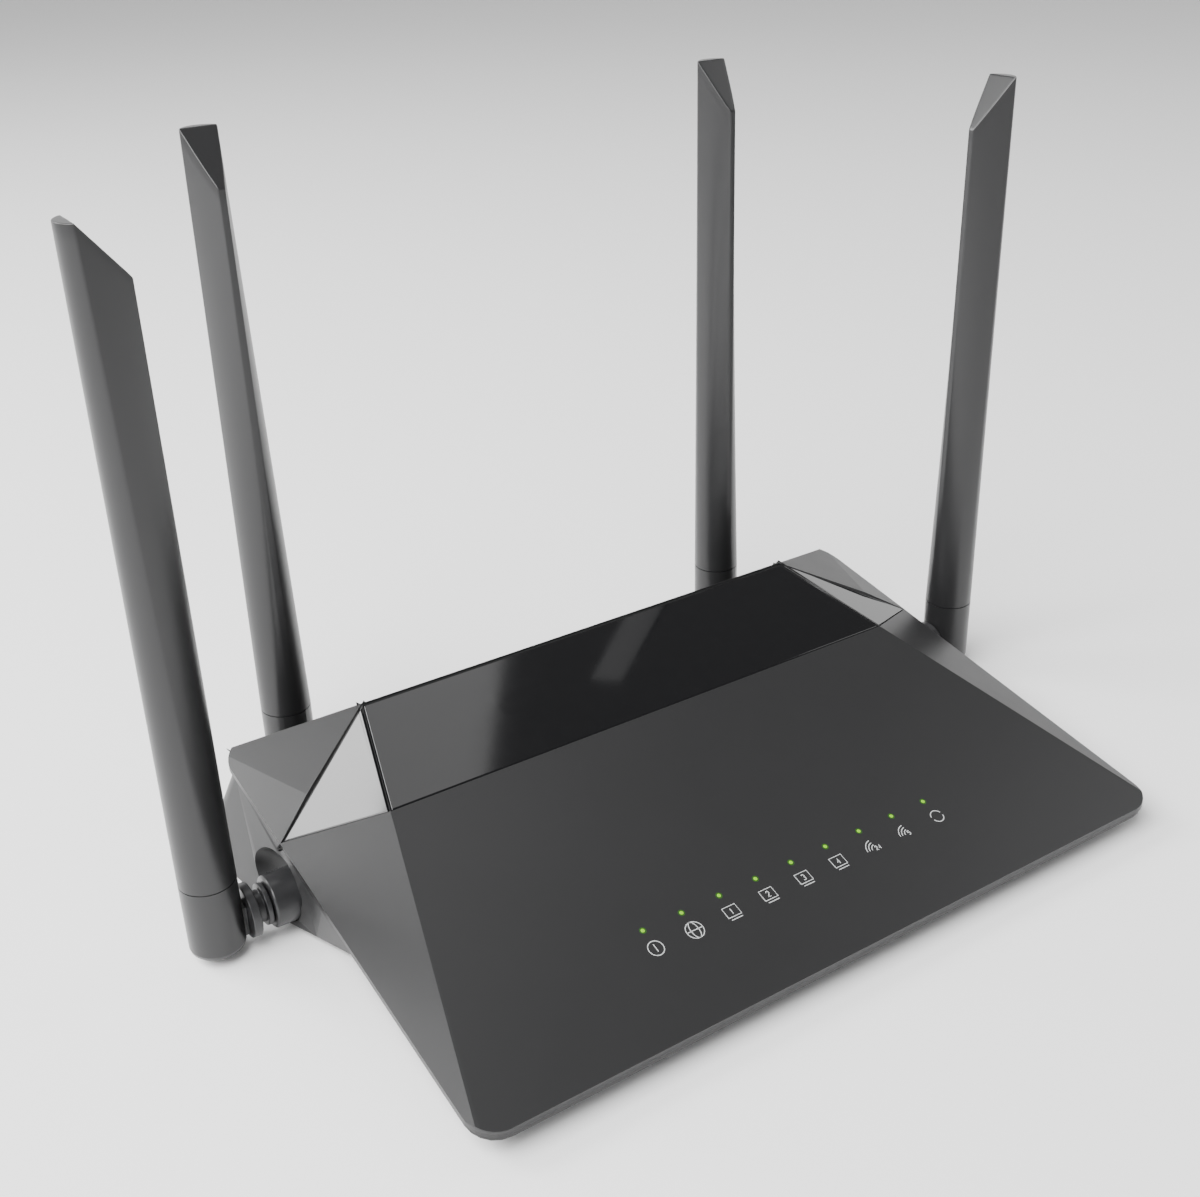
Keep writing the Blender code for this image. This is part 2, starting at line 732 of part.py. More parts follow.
def make_rear_panel(dark):
    """Flat plate around the sockets, held in the opening of the case."""
    low = (BAY_X[0] + GAP, PANEL_Y, BAY_Z[0] + GAP)
    panel = box("rear_panel", low, (BAY_X[1] - GAP, PANEL_FACE, BAY_Z[1] - GAP), dark)

    def window(bm, x, width, tall):
        low = (x - width / 2 - GAP, PANEL_Y - 0.001, PORT_Z - GAP)
        add_box(bm, low, (x + width / 2 + GAP, PANEL_FACE + 0.001, PORT_Z + tall + GAP))

    def windows(bm):
        for x in socket_xs():
            window(bm, x, SOCKET_SIZE[0], SOCKET_SIZE[2])
        window(bm, DC_X, DC_SIZE[0], DC_SIZE[2])
        for _, x, z, radius, _, _ in BUTTONS:
            ends = ((x, PANEL_Y - 0.001, z), (x, PANEL_FACE + 0.001, z))
            add_cylinder(bm, *ends, radius + GAP, 32)

    boolean(panel, place("panel_windows", mesh_of("panel_windows", windows), cutter=True))
    applied(panel)


def make_buttons(dark, grey):
    """Two push switches on the board, each with its own cap that slides through the rear panel."""
    for name, x, z, radius, proud, switch_half in BUTTONS:
        inner = PANEL_Y - BUTTON_REACH
        low = (x - switch_half, inner - BUTTON_CLEARANCE - SWITCH_DEPTH, PORT_Z)
        high = (x + switch_half, inner - BUTTON_CLEARANCE, z + SWITCH_RISE)
        box(f"{name}_switch", low, high, dark)
        cap = cylinder(f"{name}_button", (x, inner, z), (x, PANEL_FACE + proud, z), radius, grey, segments=32)
        chamfer(cap, 0.0004)


def antenna_frames():
    """For each antenna its name, its outward and sideways directions and the place of its foot."""
    side_x, side_y = SIDE_ANTENNA
    rear_x, rear_y = REAR_ANTENNA
    frames = []
    for name, centre, outward in (
        ("side_left", (-side_x, side_y, STUB_Z_SIDE), (-1.0, 0.0, 0.0)),
        ("rear_left", (-rear_x, rear_y, STUB_Z_REAR), (0.0, 1.0, 0.0)),
        ("rear_right", (rear_x, rear_y, STUB_Z_REAR), (0.0, 1.0, 0.0)),
        ("side_right", (side_x, side_y, STUB_Z_SIDE), (1.0, 0.0, 0.0)),
    ):
        out = Vector(outward)
        turn = Matrix.Identity(4)
        turn.col[0][:3] = out
        turn.col[1][:3] = Vector((-out.y, out.x, 0.0))
        stub = Matrix.Translation(centre) @ turn
        pivot = stub @ Matrix.Translation((PIVOT_OUT, 0.0, -PIVOT_DROP))
        frames.append({"name": name, "out": out, "stub": stub, "pivot": pivot})
    return frames


def stub_point(frame, inwards):
    return frame["stub"] @ Vector((-inwards, 0.0, 0.0))


def blade_ring(share, z_of):
    """Section between the round foot (share 0) and the tip section (share 1), outwards along +X."""
    reach = math.asin(TIP_HALF_CHORD / TIP_ARC_RADIUS)
    chord = TIP_ARC_CENTRE + TIP_ARC_RADIUS * math.cos(reach)
    narrowing = TIP_HALF_INNER - TIP_HALF_CHORD
    tip = []
    turns = []
    for i in range(9):
        s = i / 4 - 1
        x = TIP_ARC_CENTRE + TIP_ARC_RADIUS * math.cos(s * reach)
        tip.append((x, TIP_ARC_RADIUS * math.sin(s * reach)))
        turns.append(ARC_TURN * s)
    for side, shares in ((1, (0.25, 0.5, 0.75, 1.0)), (-1, (1.0, 0.75, 0.5, 0.25))):
        for f in shares:
            tip.append((chord + (TIP_INNER - chord) * f, side * (TIP_HALF_CHORD + narrowing * f)))
            turns.append(side * (ARC_TURN + FLANK_TURN * f))
    flat = np.array(tip)
    angles = np.radians(turns)
    around = FOOT_TUBE_RADIUS * np.stack([np.cos(angles), np.sin(angles)], axis=1)
    section = around * (1 - share) + flat * share
    fall = np.clip((chord - section[:, 0]) / (chord - TIP_INNER), 0.0, 1.0)
    return [(x - PIVOT_OUT, y, z_of(f)) for (x, y), f in zip(section.tolist(), fall.tolist())]


def blade_solid(bm):
    """Tapering blade from the seam to the slanted tip. Heights are counted from the tilt pin."""
    seam = FOOT_SEAM_RISE + GAP
    last = BLADE_TOP_RISE - BLADE_CUT_DROP - 0.004
    levels = 7
    rings = []
    for i in range(levels):
        share = i / (levels - 1)
        z = seam + (last - seam) * share
        rings.append(blade_ring(share * 0.93, lambda fall, z=z: z))
    rings.append(blade_ring(1.0, lambda fall: BLADE_TOP_RISE - BLADE_CUT_DROP * fall))
    add_loft(bm, rings)


def turned(bm, profile, segments, axis="Z", closed=False):
    """Spins (distance along, radius) pairs once round Z, or inwards round the stub, which runs along -X."""
    half_step = Matrix.Rotation(math.pi / segments, 4, axis)
    if axis == "Z":
        points = [(radius, 0.0, along) for along, radius in profile]
    else:
        points = [(-along, radius, 0.0) for along, radius in profile]
    verts = [bm.verts.new(half_step @ Vector(point)) for point in points]
    ends = verts[1:] + verts[:1] if closed else verts[1:]
    edges = [bm.edges.new(pair) for pair in zip(verts, ends)]
    way = (0.0, 0.0, 1.0) if axis == "Z" else (1.0, 0.0, 0.0)
    turn = 2 * math.pi
    bmesh.ops.spin(bm, geom=verts + edges, cent=(0.0, 0.0, 0.0), axis=way, angle=turn, steps=segments)
    bmesh.ops.remove_doubles(bm, verts=bm.verts, dist=1e-6)


def foot_solid(bm):
    """Round foot with a rounded lower edge. Its own centre line is PIVOT_OUT nearer the case than the pin."""
    r = FOOT_EDGE_RADIUS
    profile = [(FOOT_BOTTOM, 0.0)]
    for degrees in (0, 30, 60, 90):
        a = math.radians(degrees)
        along = FOOT_BOTTOM + r * (1 - math.cos(a))
        profile.append((along, FOOT_TUBE_RADIUS - r * (1 - math.sin(a))))
    profile += [(FOOT_SEAM_RISE, FOOT_TUBE_RADIUS), (FOOT_SEAM_RISE, 0.0)]
    turned(bm, profile, 32)
    bmesh.ops.translate(bm, verts=bm.verts, vec=(-PIVOT_OUT, 0.0, 0.0))


def heel_cutter(bm):
    """Everything outside the arc that rounds the foot's heel, so that it swings past the flange."""
    r = FOOT_HEEL_RADIUS
    inner = -PIVOT_OUT - FOOT_TUBE_RADIUS
    outline = list(arc_points(inner + r, FOOT_BOTTOM + r, r, 270, 180, 6))
    outline += [(inner - 0.002, FOOT_BOTTOM + r), (inner - 0.002, FOOT_BOTTOM - 0.002)]
    outline += [(inner + r, FOOT_BOTTOM - 0.002)]
    add_loft(bm, [[(x, y, z) for x, z in outline] for y in (-0.010, 0.010)])


def swivel_solid(bm):
    """Flange, neck, ring and shaft of the swivel, turned round the stub."""
    ring_end = COLLAR_START - GAP
    profile = (
        (FLANGE_START, 0.0),
        (FLANGE_START, FLANGE_RADIUS),
        (FLANGE_END, FLANGE_RADIUS),
        (FLANGE_END, NECK_RADIUS),
        (RING_START, NECK_RADIUS),
        (RING_START, RING_RADIUS),
        (ring_end, RING_RADIUS),
        (ring_end, SHAFT_RADIUS),
        (COLLAR_END, SHAFT_RADIUS),
        (COLLAR_END, 0.0),
    )
    turned(bm, profile, 28, axis="X")


def collar_solid(bm):
    """Fixed collar round the swivel's shaft, open through the middle."""
    bore = SHAFT_RADIUS + BORE_SPACE
    outline = (
        (COLLAR_START, bore),
        (COLLAR_START, COLLAR_RADIUS - COLLAR_EDGE),
        (COLLAR_START + COLLAR_EDGE, COLLAR_RADIUS),
        (COLLAR_END, COLLAR_RADIUS),
        (COLLAR_END, bore),
    )
    turned(bm, outline, 32, axis="X", closed=True)


def make_antenna(frame, antenna, joint, steel, brass):
    name = frame["name"]

    def add(part, build, finish, about="pivot"):
        """A piece built in the antenna's own frame: X outwards, Y sideways, Z up."""
        mesh = mesh_of(f"{part}_{name}", build)
        shade(mesh)
        obj = place(f"{part}_{name}", mesh, finish, cutter=finish is None)
        obj.matrix_world = frame[about]
        return obj

    def tongue(bm):
        low = (-FLANGE_START - PIVOT_OUT - 0.001, -TONGUE_HALF, -TONGUE_RADIUS)
        add_box(bm, low, (0.0, TONGUE_HALF, TONGUE_RADIUS))

    def tongue_end(bm):
        add_cylinder(bm, (0.0, -TONGUE_HALF, 0.0), (0.0, TONGUE_HALF, 0.0), TONGUE_RADIUS, 24)

    def pin_hole(bm):
        reach = PIN_HALF_LENGTH + GAP
        add_cylinder(bm, (0.0, -reach, 0.0), (0.0, reach, 0.0), PIN_RADIUS + BORE_SPACE, 16)

    def slot(bm):
        high = (TONGUE_RADIUS + GAP, TONGUE_HALF + GAP, TONGUE_RADIUS + 0.0015)
        add_box(bm, (-0.010, -TONGUE_HALF - GAP, -0.010), high)

    def pin(bm):
        add_cylinder(bm, (0.0, -PIN_HALF_LENGTH, 0.0), (0.0, PIN_HALF_LENGTH, 0.0), PIN_RADIUS, 16)

    def bore(bm):
        low = (-PIVOT_OUT, 0.0, FOOT_SEAM_RISE - 0.001)
        add_cylinder(bm, low, (-PIVOT_OUT, 0.0, ELEMENT_TOP + 0.010), BLADE_BORE_RADIUS, 12)

    def element(bm):
        low = (-PIVOT_OUT, 0.0, FOOT_SEAM_RISE + 0.001)
        add_cylinder(bm, low, (-PIVOT_OUT, 0.0, ELEMENT_TOP), ELEMENT_RADIUS, 12)

    add("antenna_collar", collar_solid, joint, about="stub")
    swivel = add("antenna_swivel", swivel_solid, joint, about="stub")
    boolean(swivel, add("tongue", tongue, None), "UNION")
    boolean(swivel, add("tongue_end", tongue_end, None), "UNION")
    hole = add("pin_hole", pin_hole, None)
    boolean(swivel, hole)
    foot = add("antenna_foot", foot_solid, antenna)
    boolean(foot, add("heel", heel_cutter, None))
    boolean(foot, add("slot", slot, None))
    boolean(foot, hole)
    add("tilt_pin", pin, steel)
    blade = add("antenna_blade", blade_solid, antenna)
    boolean(blade, add("bore", bore, None))
    add("antenna_element", element, brass)
    for piece in (swivel, foot, blade):
        applied(piece)


def make_lead(frame, number, grey):
    """Thin coaxial lead from the end of the swivel's shaft to its place on the board."""
    start = stub_point(frame, COLLAR_END + 2 * GAP)
    inward = -frame["out"]
    beside = abs(frame["out"].x) > 0.5
    land_x, land_y = LEAD_LAND_SIDE if beside else LEAD_LAND_REAR
    land = Vector((math.copysign(land_x, start.x), land_y, BOARD_TOP + LEAD_RADIUS))
    arch = Vector((0.0, 0.0, 0.0040))
    knots = [start, start + inward * 0.005, start.lerp(land, 0.55) + arch, land + 0.75 * arch, land]
    points = smooth_route(knots, LEAD_POINTS)
    curve = bpy.data.curves.new(f"antenna_lead_{number}", "CURVE")
    curve.dimensions = "3D"
    curve.bevel_depth = LEAD_RADIUS
    curve.bevel_resolution = 2
    curve.use_fill_caps = True
    spline = curve.splines.new("POLY")
    spline.points.add(len(points) - 1)
    for target, point in zip(spline.points, points):
        target.co = (*point, 1.0)
    curve.materials.append(grey)
    obj = bpy.data.objects.new(f"antenna_lead_{number}", curve)
    bpy.data.collections[ROUTER].objects.link(obj)


def smooth_route(knots, count):
    """Points on one smooth curve through the knots."""
    knots = [knots[0] * 2 - knots[1], *knots, knots[-1] * 2 - knots[-2]]
    spans = len(knots) - 3
    points = []
    for i in range(count):
        t = spans * i / (count - 1)
        k = min(int(t), spans - 1)
        f = t - k
        a, b, c, d = knots[k : k + 4]
        square = (a * 2 - b * 5 + c * 4 - d) * f**2
        cube = (b * 3 - a - c * 3 + d) * f**3
        points.append((b * 2 + (c - a) * f + square + cube) / 2)
    return points


def main():
    clear_scene()
    new_collection(ROUTER)
    new_collection(CUTTERS)
    matt = material("cover_matt", (0.085, 0.085, 0.088), 0.45)
    gloss = material("panel_gloss", (0.012, 0.012, 0.013), 0.06)
    dark = material("case_matt", (0.075, 0.075, 0.078), 0.55)
    antenna = material("antenna_matt", (0.070, 0.070, 0.073), 0.42)
    joint = material("joint_black", (0.020, 0.020, 0.021), 0.35)
    rubber = material("foot_rubber", (0.030, 0.030, 0.030), 0.85)
    steel = material("screw_steel", (0.55, 0.55, 0.56), 0.35, 1.0)
    brass = material("element_brass", (0.80, 0.62, 0.30), 0.30, 1.0)
    clear = material("light_guide", (0.45, 0.80, 0.15), 0.25)
    green = material("board_green", (0.020, 0.110, 0.050), 0.40)
    chip = material("chip_black", (0.020, 0.020, 0.022), 0.50)
    tin = material("shield_tin", (0.70, 0.70, 0.68), 0.30, 1.0)
    sink = material("sink_aluminium", (0.60, 0.60, 0.62), 0.40, 1.0)
    socket = material("socket_black", (0.030, 0.030, 0.032), 0.40)
    cap = material("button_grey", (0.120, 0.120, 0.125), 0.40)
    lead = material("lead_grey", (0.100, 0.100, 0.105), 0.45)

    make_cover(matt, gloss)
    make_light_guide(clear)
    make_case(dark)
    make_fixings(rubber, steel)
    make_board(green, chip, tin, sink)
    make_sockets(socket, cap)
    make_rear_panel(dark)
    make_buttons(chip, cap)
    for number, frame in enumerate(antenna_frames(), 1):
        make_antenna(frame, antenna, joint, steel, brass)
        make_lead(frame, number, lead)
    for obj in bpy.data.objects:
        obj.location.y -= CENTRE_Y


main()
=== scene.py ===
"""Wireless router with four rod antennas: its finished surfaces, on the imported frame."""
import json
import math

import bmesh
import bpy
import numpy as np
from mathutils import Matrix, Vector


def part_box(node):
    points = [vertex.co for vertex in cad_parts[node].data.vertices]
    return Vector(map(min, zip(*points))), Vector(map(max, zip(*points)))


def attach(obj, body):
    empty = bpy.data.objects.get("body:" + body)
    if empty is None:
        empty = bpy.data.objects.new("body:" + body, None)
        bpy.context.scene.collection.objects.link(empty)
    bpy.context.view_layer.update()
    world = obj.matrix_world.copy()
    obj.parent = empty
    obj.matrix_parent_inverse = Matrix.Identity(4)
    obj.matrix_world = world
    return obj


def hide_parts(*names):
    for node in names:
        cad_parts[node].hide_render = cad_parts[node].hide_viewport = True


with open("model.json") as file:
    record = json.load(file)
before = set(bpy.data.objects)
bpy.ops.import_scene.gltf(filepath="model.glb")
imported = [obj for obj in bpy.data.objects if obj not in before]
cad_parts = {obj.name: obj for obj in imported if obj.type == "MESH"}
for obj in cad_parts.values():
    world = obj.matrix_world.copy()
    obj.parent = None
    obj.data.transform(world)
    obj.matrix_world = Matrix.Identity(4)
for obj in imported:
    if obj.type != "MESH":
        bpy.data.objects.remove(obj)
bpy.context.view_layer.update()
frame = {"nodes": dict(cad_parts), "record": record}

# The studio is a pale floor in a white room, with the camera above the front left corner. The widest
# lamp stands on the left, a little in front, and lights the whole case. The others stand where the
# left end of the cover, its small gloss panel, the long slope and the right side mirror them.
CAMERA_PLACE = (-0.2225, -0.3157, 0.2721)
CAMERA_RIGHT = (0.8332, -0.5522, -0.0282)
CAMERA_UP = (0.2732, 0.3669, 0.8892)
LENS_MM = 45.75

camera_data = bpy.data.cameras.new("camera")
camera_data.lens = LENS_MM
camera_data.sensor_width = 36.0
camera_data.clip_start = 0.01
camera = bpy.data.objects.new("camera", camera_data)
bpy.context.scene.collection.objects.link(camera)
right = Vector(CAMERA_RIGHT).normalized()
back = right.cross(Vector(CAMERA_UP)).normalized()
turn = Matrix((right, back.cross(right), back)).transposed().to_4x4()
camera.matrix_world = Matrix.Translation(CAMERA_PLACE) @ turn
bpy.context.scene.camera = camera


def panel_light(name, azimuth, elevation, width, tall, watts, distance=1.6):
    """A flat lamp aimed at the router. Azimuth 0 is behind it and grows towards its right side."""
    lamp = bpy.data.lights.new(name, "AREA")
    lamp.shape = "RECTANGLE"
    lamp.size = width
    lamp.size_y = tall
    lamp.energy = watts
    light = bpy.data.objects.new(name, lamp)
    bpy.context.scene.collection.objects.link(light)
    a, e = math.radians(azimuth), math.radians(elevation)
    way = Vector((math.sin(a) * math.cos(e), math.cos(a) * math.cos(e), math.sin(e)))
    facing = way.to_track_quat("Z", "Y").to_matrix().to_4x4()
    light.matrix_world = Matrix.Translation(Vector((0.0, 0.0, 0.04)) + way * distance) @ facing


panel_light("left_panel", azimuth=-44, elevation=36, width=0.60, tall=0.50, watts=16)
panel_light("small_panel", azimuth=-29, elevation=50, width=0.25, tall=0.15, watts=2.3)
panel_light("ceiling_panel", azimuth=30, elevation=66, width=0.46, tall=0.80, watts=2.4)
panel_light("right_panel", azimuth=98, elevation=42, width=0.60, tall=0.50, watts=2.5)
panel_light("room_panel", azimuth=-106, elevation=53, width=1.30, tall=1.30, watts=62)

UPWARDS = (0.0, 0.0, 1.0)
TO_THE_LEFT = (-0.87, 0.50, 0.0)
HORIZON_STRENGTH = 1.7
ZENITH_STRENGTH = 0.20
LEFT_STRENGTH = 0.9


def studio_world():
    """A white room: bright near the horizon, dim above, and lighter again towards the left."""
    made = bpy.data.worlds.new("studio")
    made.use_nodes = True
    nodes, links = made.node_tree.nodes, made.node_tree.links
    way = nodes.new("ShaderNodeTexCoord")

    def share(direction, low, high, at_low, at_high):
        """A smooth step along one direction of the sky."""
        towards = nodes.new("ShaderNodeVectorMath")
        towards.operation = "DOT_PRODUCT"
        towards.inputs[1].default_value = direction
        links.new(way.outputs["Generated"], towards.inputs[0])
        step = nodes.new("ShaderNodeMapRange")
        step.interpolation_type = "SMOOTHSTEP"
        step.inputs["From Min"].default_value = low
        step.inputs["From Max"].default_value = high
        step.inputs["To Min"].default_value = at_low
        step.inputs["To Max"].default_value = at_high
        links.new(towards.outputs["Value"], step.inputs["Value"])
        return step.outputs["Result"]

    total = nodes.new("ShaderNodeMath")
    total.operation = "ADD"
    links.new(share(UPWARDS, 0.05, 0.50, HORIZON_STRENGTH, ZENITH_STRENGTH), total.inputs[0])
    links.new(share(TO_THE_LEFT, 0.0, 0.9, 0.0, LEFT_STRENGTH), total.inputs[1])
    background = nodes["Background"]
    background.inputs["Color"].default_value = (1.0, 1.0, 1.0, 1.0)
    links.new(total.outputs[0], background.inputs["Strength"])
    return made


bpy.context.scene.world = studio_world()

FLOOR_HALF = 12.0
FLOOR_WHITE = (0.92, 0.92, 0.92, 1.0)
floor_mesh = bpy.data.meshes.new("floor")
corners = np.array([(-1, -1, 0), (1, -1, 0), (1, 1, 0), (-1, 1, 0)]) * FLOOR_HALF
floor_mesh.from_pydata(corners.tolist(), [], [(0, 1, 2, 3)])
floor = bpy.data.objects.new("floor", floor_mesh)
bpy.context.scene.collection.objects.link(floor)
floor_finish = bpy.data.materials.new("pale_floor")
floor_finish.use_nodes = True
floor_shader = floor_finish.node_tree.nodes["Principled BSDF"]
floor_shader.inputs["Base Color"].default_value = FLOOR_WHITE
floor_shader.inputs["Roughness"].default_value = 0.7
floor_mesh.materials.append(floor_finish)


# The top cover is injection moulded in dark grey ABS, with a fine spark-eroded grain on every
# facet. Its ridges are rounded by the tool, more along the long hips than at the lip, and it is
# held by four screws from below.
def socket_group(name, inputs, outputs):
    """A shader node group with named float inputs and outputs of the given kinds."""
    group = bpy.data.node_groups.new(name, "ShaderNodeTree")
    for label, value in inputs:
        made = group.interface.new_socket(label, in_out="INPUT", socket_type="NodeSocketFloat")
        made.default_value = value
    for label, kind in outputs:
        group.interface.new_socket(label, in_out="OUTPUT", socket_type=kind)
    return group, group.nodes.new("NodeGroupInput"), group.nodes.new("NodeGroupOutput")


def moulded_grain_group():
    """Grain of a moulded plastic: cells of the eroded tool, slow waviness of the wall, handling marks.

    Height is fine noise plus a little coarse noise. Tone is a slow shift of lightness round 1, and
    Sheen a slow shift of roughness round 0.
    """
    group, inside, outside = socket_group(
        "moulded_grain",
        (
            ("Grain Size", 2600.0),
            ("Wave Size", 40.0),
            ("Wave Share", 0.3),
            ("Tone Shift", 0.06),
            ("Sheen Shift", 0.05),
        ),
        (("Height", "NodeSocketFloat"), ("Tone", "NodeSocketFloat"), ("Sheen", "NodeSocketFloat")),
    )
    nodes, links = group.nodes, group.links
    place = nodes.new("ShaderNodeTexCoord")
    fine = nodes.new("ShaderNodeTexNoise")
    fine.inputs["Detail"].default_value = 3.0
    wave = nodes.new("ShaderNodeTexNoise")
    wave.inputs["Detail"].default_value = 2.0
    smear = nodes.new("ShaderNodeTexNoise")
    smear.inputs["Detail"].default_value = 4.0
    smear.inputs["Scale"].default_value = 95.0
    smear.inputs["Distortion"].default_value = 0.6
    for noise in (fine, wave, smear):
        links.new(place.outputs["Object"], noise.inputs["Vector"])
    links.new(inside.outputs["Grain Size"], fine.inputs["Scale"])
    links.new(inside.outputs["Wave Size"], wave.inputs["Scale"])

    def maths(operation, a, b):
        node = nodes.new("ShaderNodeMath")
        node.operation = operation
        for socket, value in zip(node.inputs, (a, b)):
            if hasattr(value, "is_output"):
                links.new(value, socket)
            else:
                socket.default_value = value
        return node.outputs[0]

    waviness = maths("MULTIPLY", wave.outputs["Fac"], inside.outputs["Wave Share"])
    links.new(maths("ADD", fine.outputs["Fac"], waviness), outside.inputs["Height"])
    lighter = maths("SUBTRACT", wave.outputs["Fac"], 0.5)
    tone = maths("MULTIPLY", lighter, inside.outputs["Tone Shift"])
    links.new(maths("ADD", tone, 1.0), outside.inputs["Tone"])
    duller = maths("SUBTRACT", smear.outputs["Fac"], 0.5)
    links.new(maths("MULTIPLY", duller, inside.outputs["Sheen Shift"]), outside.inputs["Sheen"])
    return group


def edge_wear_group():
    """Ridges rubbed lighter: a mask, 1 on sharp outward edges and 0 on flats, broken up by noise."""
    group, inside, outside = socket_group(
        "edge_wear", (("Reach", 0.03), ("Amount", 0.5)), (("Mask", "NodeSocketFloat"),)
    )
    nodes, links = group.nodes, group.links
    shape = nodes.new("ShaderNodeNewGeometry")
    place = nodes.new("ShaderNodeTexCoord")
    patches = nodes.new("ShaderNodeTexNoise")
    patches.inputs["Scale"].default_value = 260.0
    links.new(place.outputs["Object"], patches.inputs["Vector"])
    past_flat = nodes.new("ShaderNodeMath")
    past_flat.operation = "SUBTRACT"
    links.new(shape.outputs["Pointiness"], past_flat.inputs[0])
    past_flat.inputs[1].default_value = 0.515
    spread = nodes.new("ShaderNodeMath")
    spread.operation = "DIVIDE"
    spread.use_clamp = True
    links.new(past_flat.outputs[0], spread.inputs[0])
    links.new(inside.outputs["Reach"], spread.inputs[1])
    broken = nodes.new("ShaderNodeMath")
    broken.operation = "MULTIPLY"
    links.new(spread.outputs[0], broken.inputs[0])
    links.new(patches.outputs["Fac"], broken.inputs[1])
    scaled = nodes.new("ShaderNodeMath")
    scaled.operation = "MULTIPLY"
    links.new(broken.outputs[0], scaled.inputs[0])
    links.new(inside.outputs["Amount"], scaled.inputs[1])
    links.new(scaled.outputs[0], outside.inputs["Mask"])
    return group


MOULDED_GRAIN = moulded_grain_group()
EDGE_WEAR = edge_wear_group()


def moulded(
    name,
    colour,
    roughness,
    grain=0.00003,
    grain_size=2600.0,
    metallic=0.0,
    wear=0.5,
    tone=0.06,
    shine=0.5,
):
    """A finish whose colour, roughness and relief come from the moulded grain and the edge wear.

    The grain is its depth in metres and the grain size its cells per metre.
    """
    finish = bpy.data.materials.new(name)
    finish.use_nodes = True
    nodes, links = finish.node_tree.nodes, finish.node_tree.links
    shader = nodes["Principled BSDF"]
    skin = nodes.new("ShaderNodeGroup")
    skin.node_tree = MOULDED_GRAIN
    skin.inputs["Grain Size"].default_value = grain_size
    skin.inputs["Tone Shift"].default_value = tone
    skin.inputs["Sheen Shift"].default_value = 0.05
    rub = nodes.new("ShaderNodeGroup")
    rub.node_tree = EDGE_WEAR
    rub.inputs["Amount"].default_value = wear
    shaded = nodes.new("ShaderNodeHueSaturation")
    shaded.inputs["Color"].default_value = (*colour, 1.0)
    links.new(skin.outputs["Tone"], shaded.inputs["Value"])
    worn = nodes.new("ShaderNodeMix")
    worn.data_type = "RGBA"
    links.new(rub.outputs["Mask"], worn.inputs["Factor"])
    links.new(shaded.outputs["Color"], worn.inputs["A"])
    lighter = tuple(min(1.0, channel * 1.9 + 0.015) for channel in colour)
    worn.inputs["B"].default_value = (*lighter, 1.0)
    links.new(worn.outputs["Result"], shader.inputs["Base Color"])
    rough = nodes.new("ShaderNodeMath")
    rough.operation = "ADD"
    rough.inputs[1].default_value = roughness
    links.new(skin.outputs["Sheen"], rough.inputs[0])
    links.new(rough.outputs[0], shader.inputs["Roughness"])
    relief = nodes.new("ShaderNodeBump")
    relief.inputs["Strength"].default_value = 1.0
    relief.inputs["Distance"].default_value = grain
    links.new(skin.outputs["Height"], relief.inputs["Height"])
    links.new(relief.outputs["Normal"], shader.inputs["Normal"])
    shader.inputs["Metallic"].default_value = metallic
    shader.inputs["Specular IOR Level"].default_value = shine
    return finish


def link_piece(name, mesh, finish, slot, body, *stands_for):
    """Puts a finished mesh into the scene, on its body and in place of its CAD nodes."""
    mesh.materials.clear()
    mesh.materials.append(finish)
    piece = bpy.data.objects.new(name, mesh)
    bpy.context.scene.collection.objects.link(piece)
    if stands_for:
        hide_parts(*stands_for)
    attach(piece, body)
    return piece


def body_of_node(node):
    """The name of the body that holds a CAD node."""
    for body, nodes in frame["record"]["behaviour"]["bodies"].items():
        if node in nodes:
            return body
    raise KeyError(node)


SAME_POINT = 2e-6
FLAT_ANGLE = 0.6


def joined_copy(node):
    """The CAD node's own surface, its loose triangles merged and its flat faces made whole again."""
    bm = bmesh.new()
    bm.from_mesh(frame["nodes"][node].data)
    bmesh.ops.remove_doubles(bm, verts=bm.verts, dist=SAME_POINT)
    flat = math.radians(FLAT_ANGLE)
    bmesh.ops.dissolve_limit(bm, angle_limit=flat, verts=bm.verts, edges=bm.edges)
    mesh = bpy.data.meshes.new(f"{node}_skin")
    bm.to_mesh(mesh)
    bm.free()
    return mesh


def clean(mesh):
    """Merges points that coincide and turns every face outwards."""
    bm = bmesh.new()
    bm.from_mesh(mesh)
    bmesh.ops.remove_doubles(bm, verts=bm.verts, dist=SAME_POINT)
    bmesh.ops.recalc_face_normals(bm, faces=bm.faces)
    bm.to_mesh(mesh)
    bm.free()


def finished(node, finish, slot, width=0.00025, segments=2, smooth=32.0):
    """A CAD node's surface whose edges over the smooth angle, in degrees, are rounded by a bevel."""
    mesh = joined_copy(node)
    mesh.shade_smooth()
    mesh.set_sharp_from_angle(angle=math.radians(smooth))
    piece = link_piece(f"{node}_surface", mesh, finish, slot, body_of_node(node), node)
    bevel = piece.modifiers.new("rounded_edges", "BEVEL")
    bevel.limit_method = "ANGLE"
    bevel.angle_limit = math.radians(smooth)
    bevel.width = width
    bevel.segments = segments
    bevel.use_clamp_overlap = True
    weighted = piece.modifiers.new("flat_shading", "WEIGHTED_NORMAL")
    weighted.keep_sharp = True
    weighted.weight = 80
    return piece


COVER_GREY = (0.015, 0.015, 0.0155)
cover_finish = moulded("cover_grain", COVER_GREY, 0.36, grain=0.000012, wear=0.2, shine=0.36)

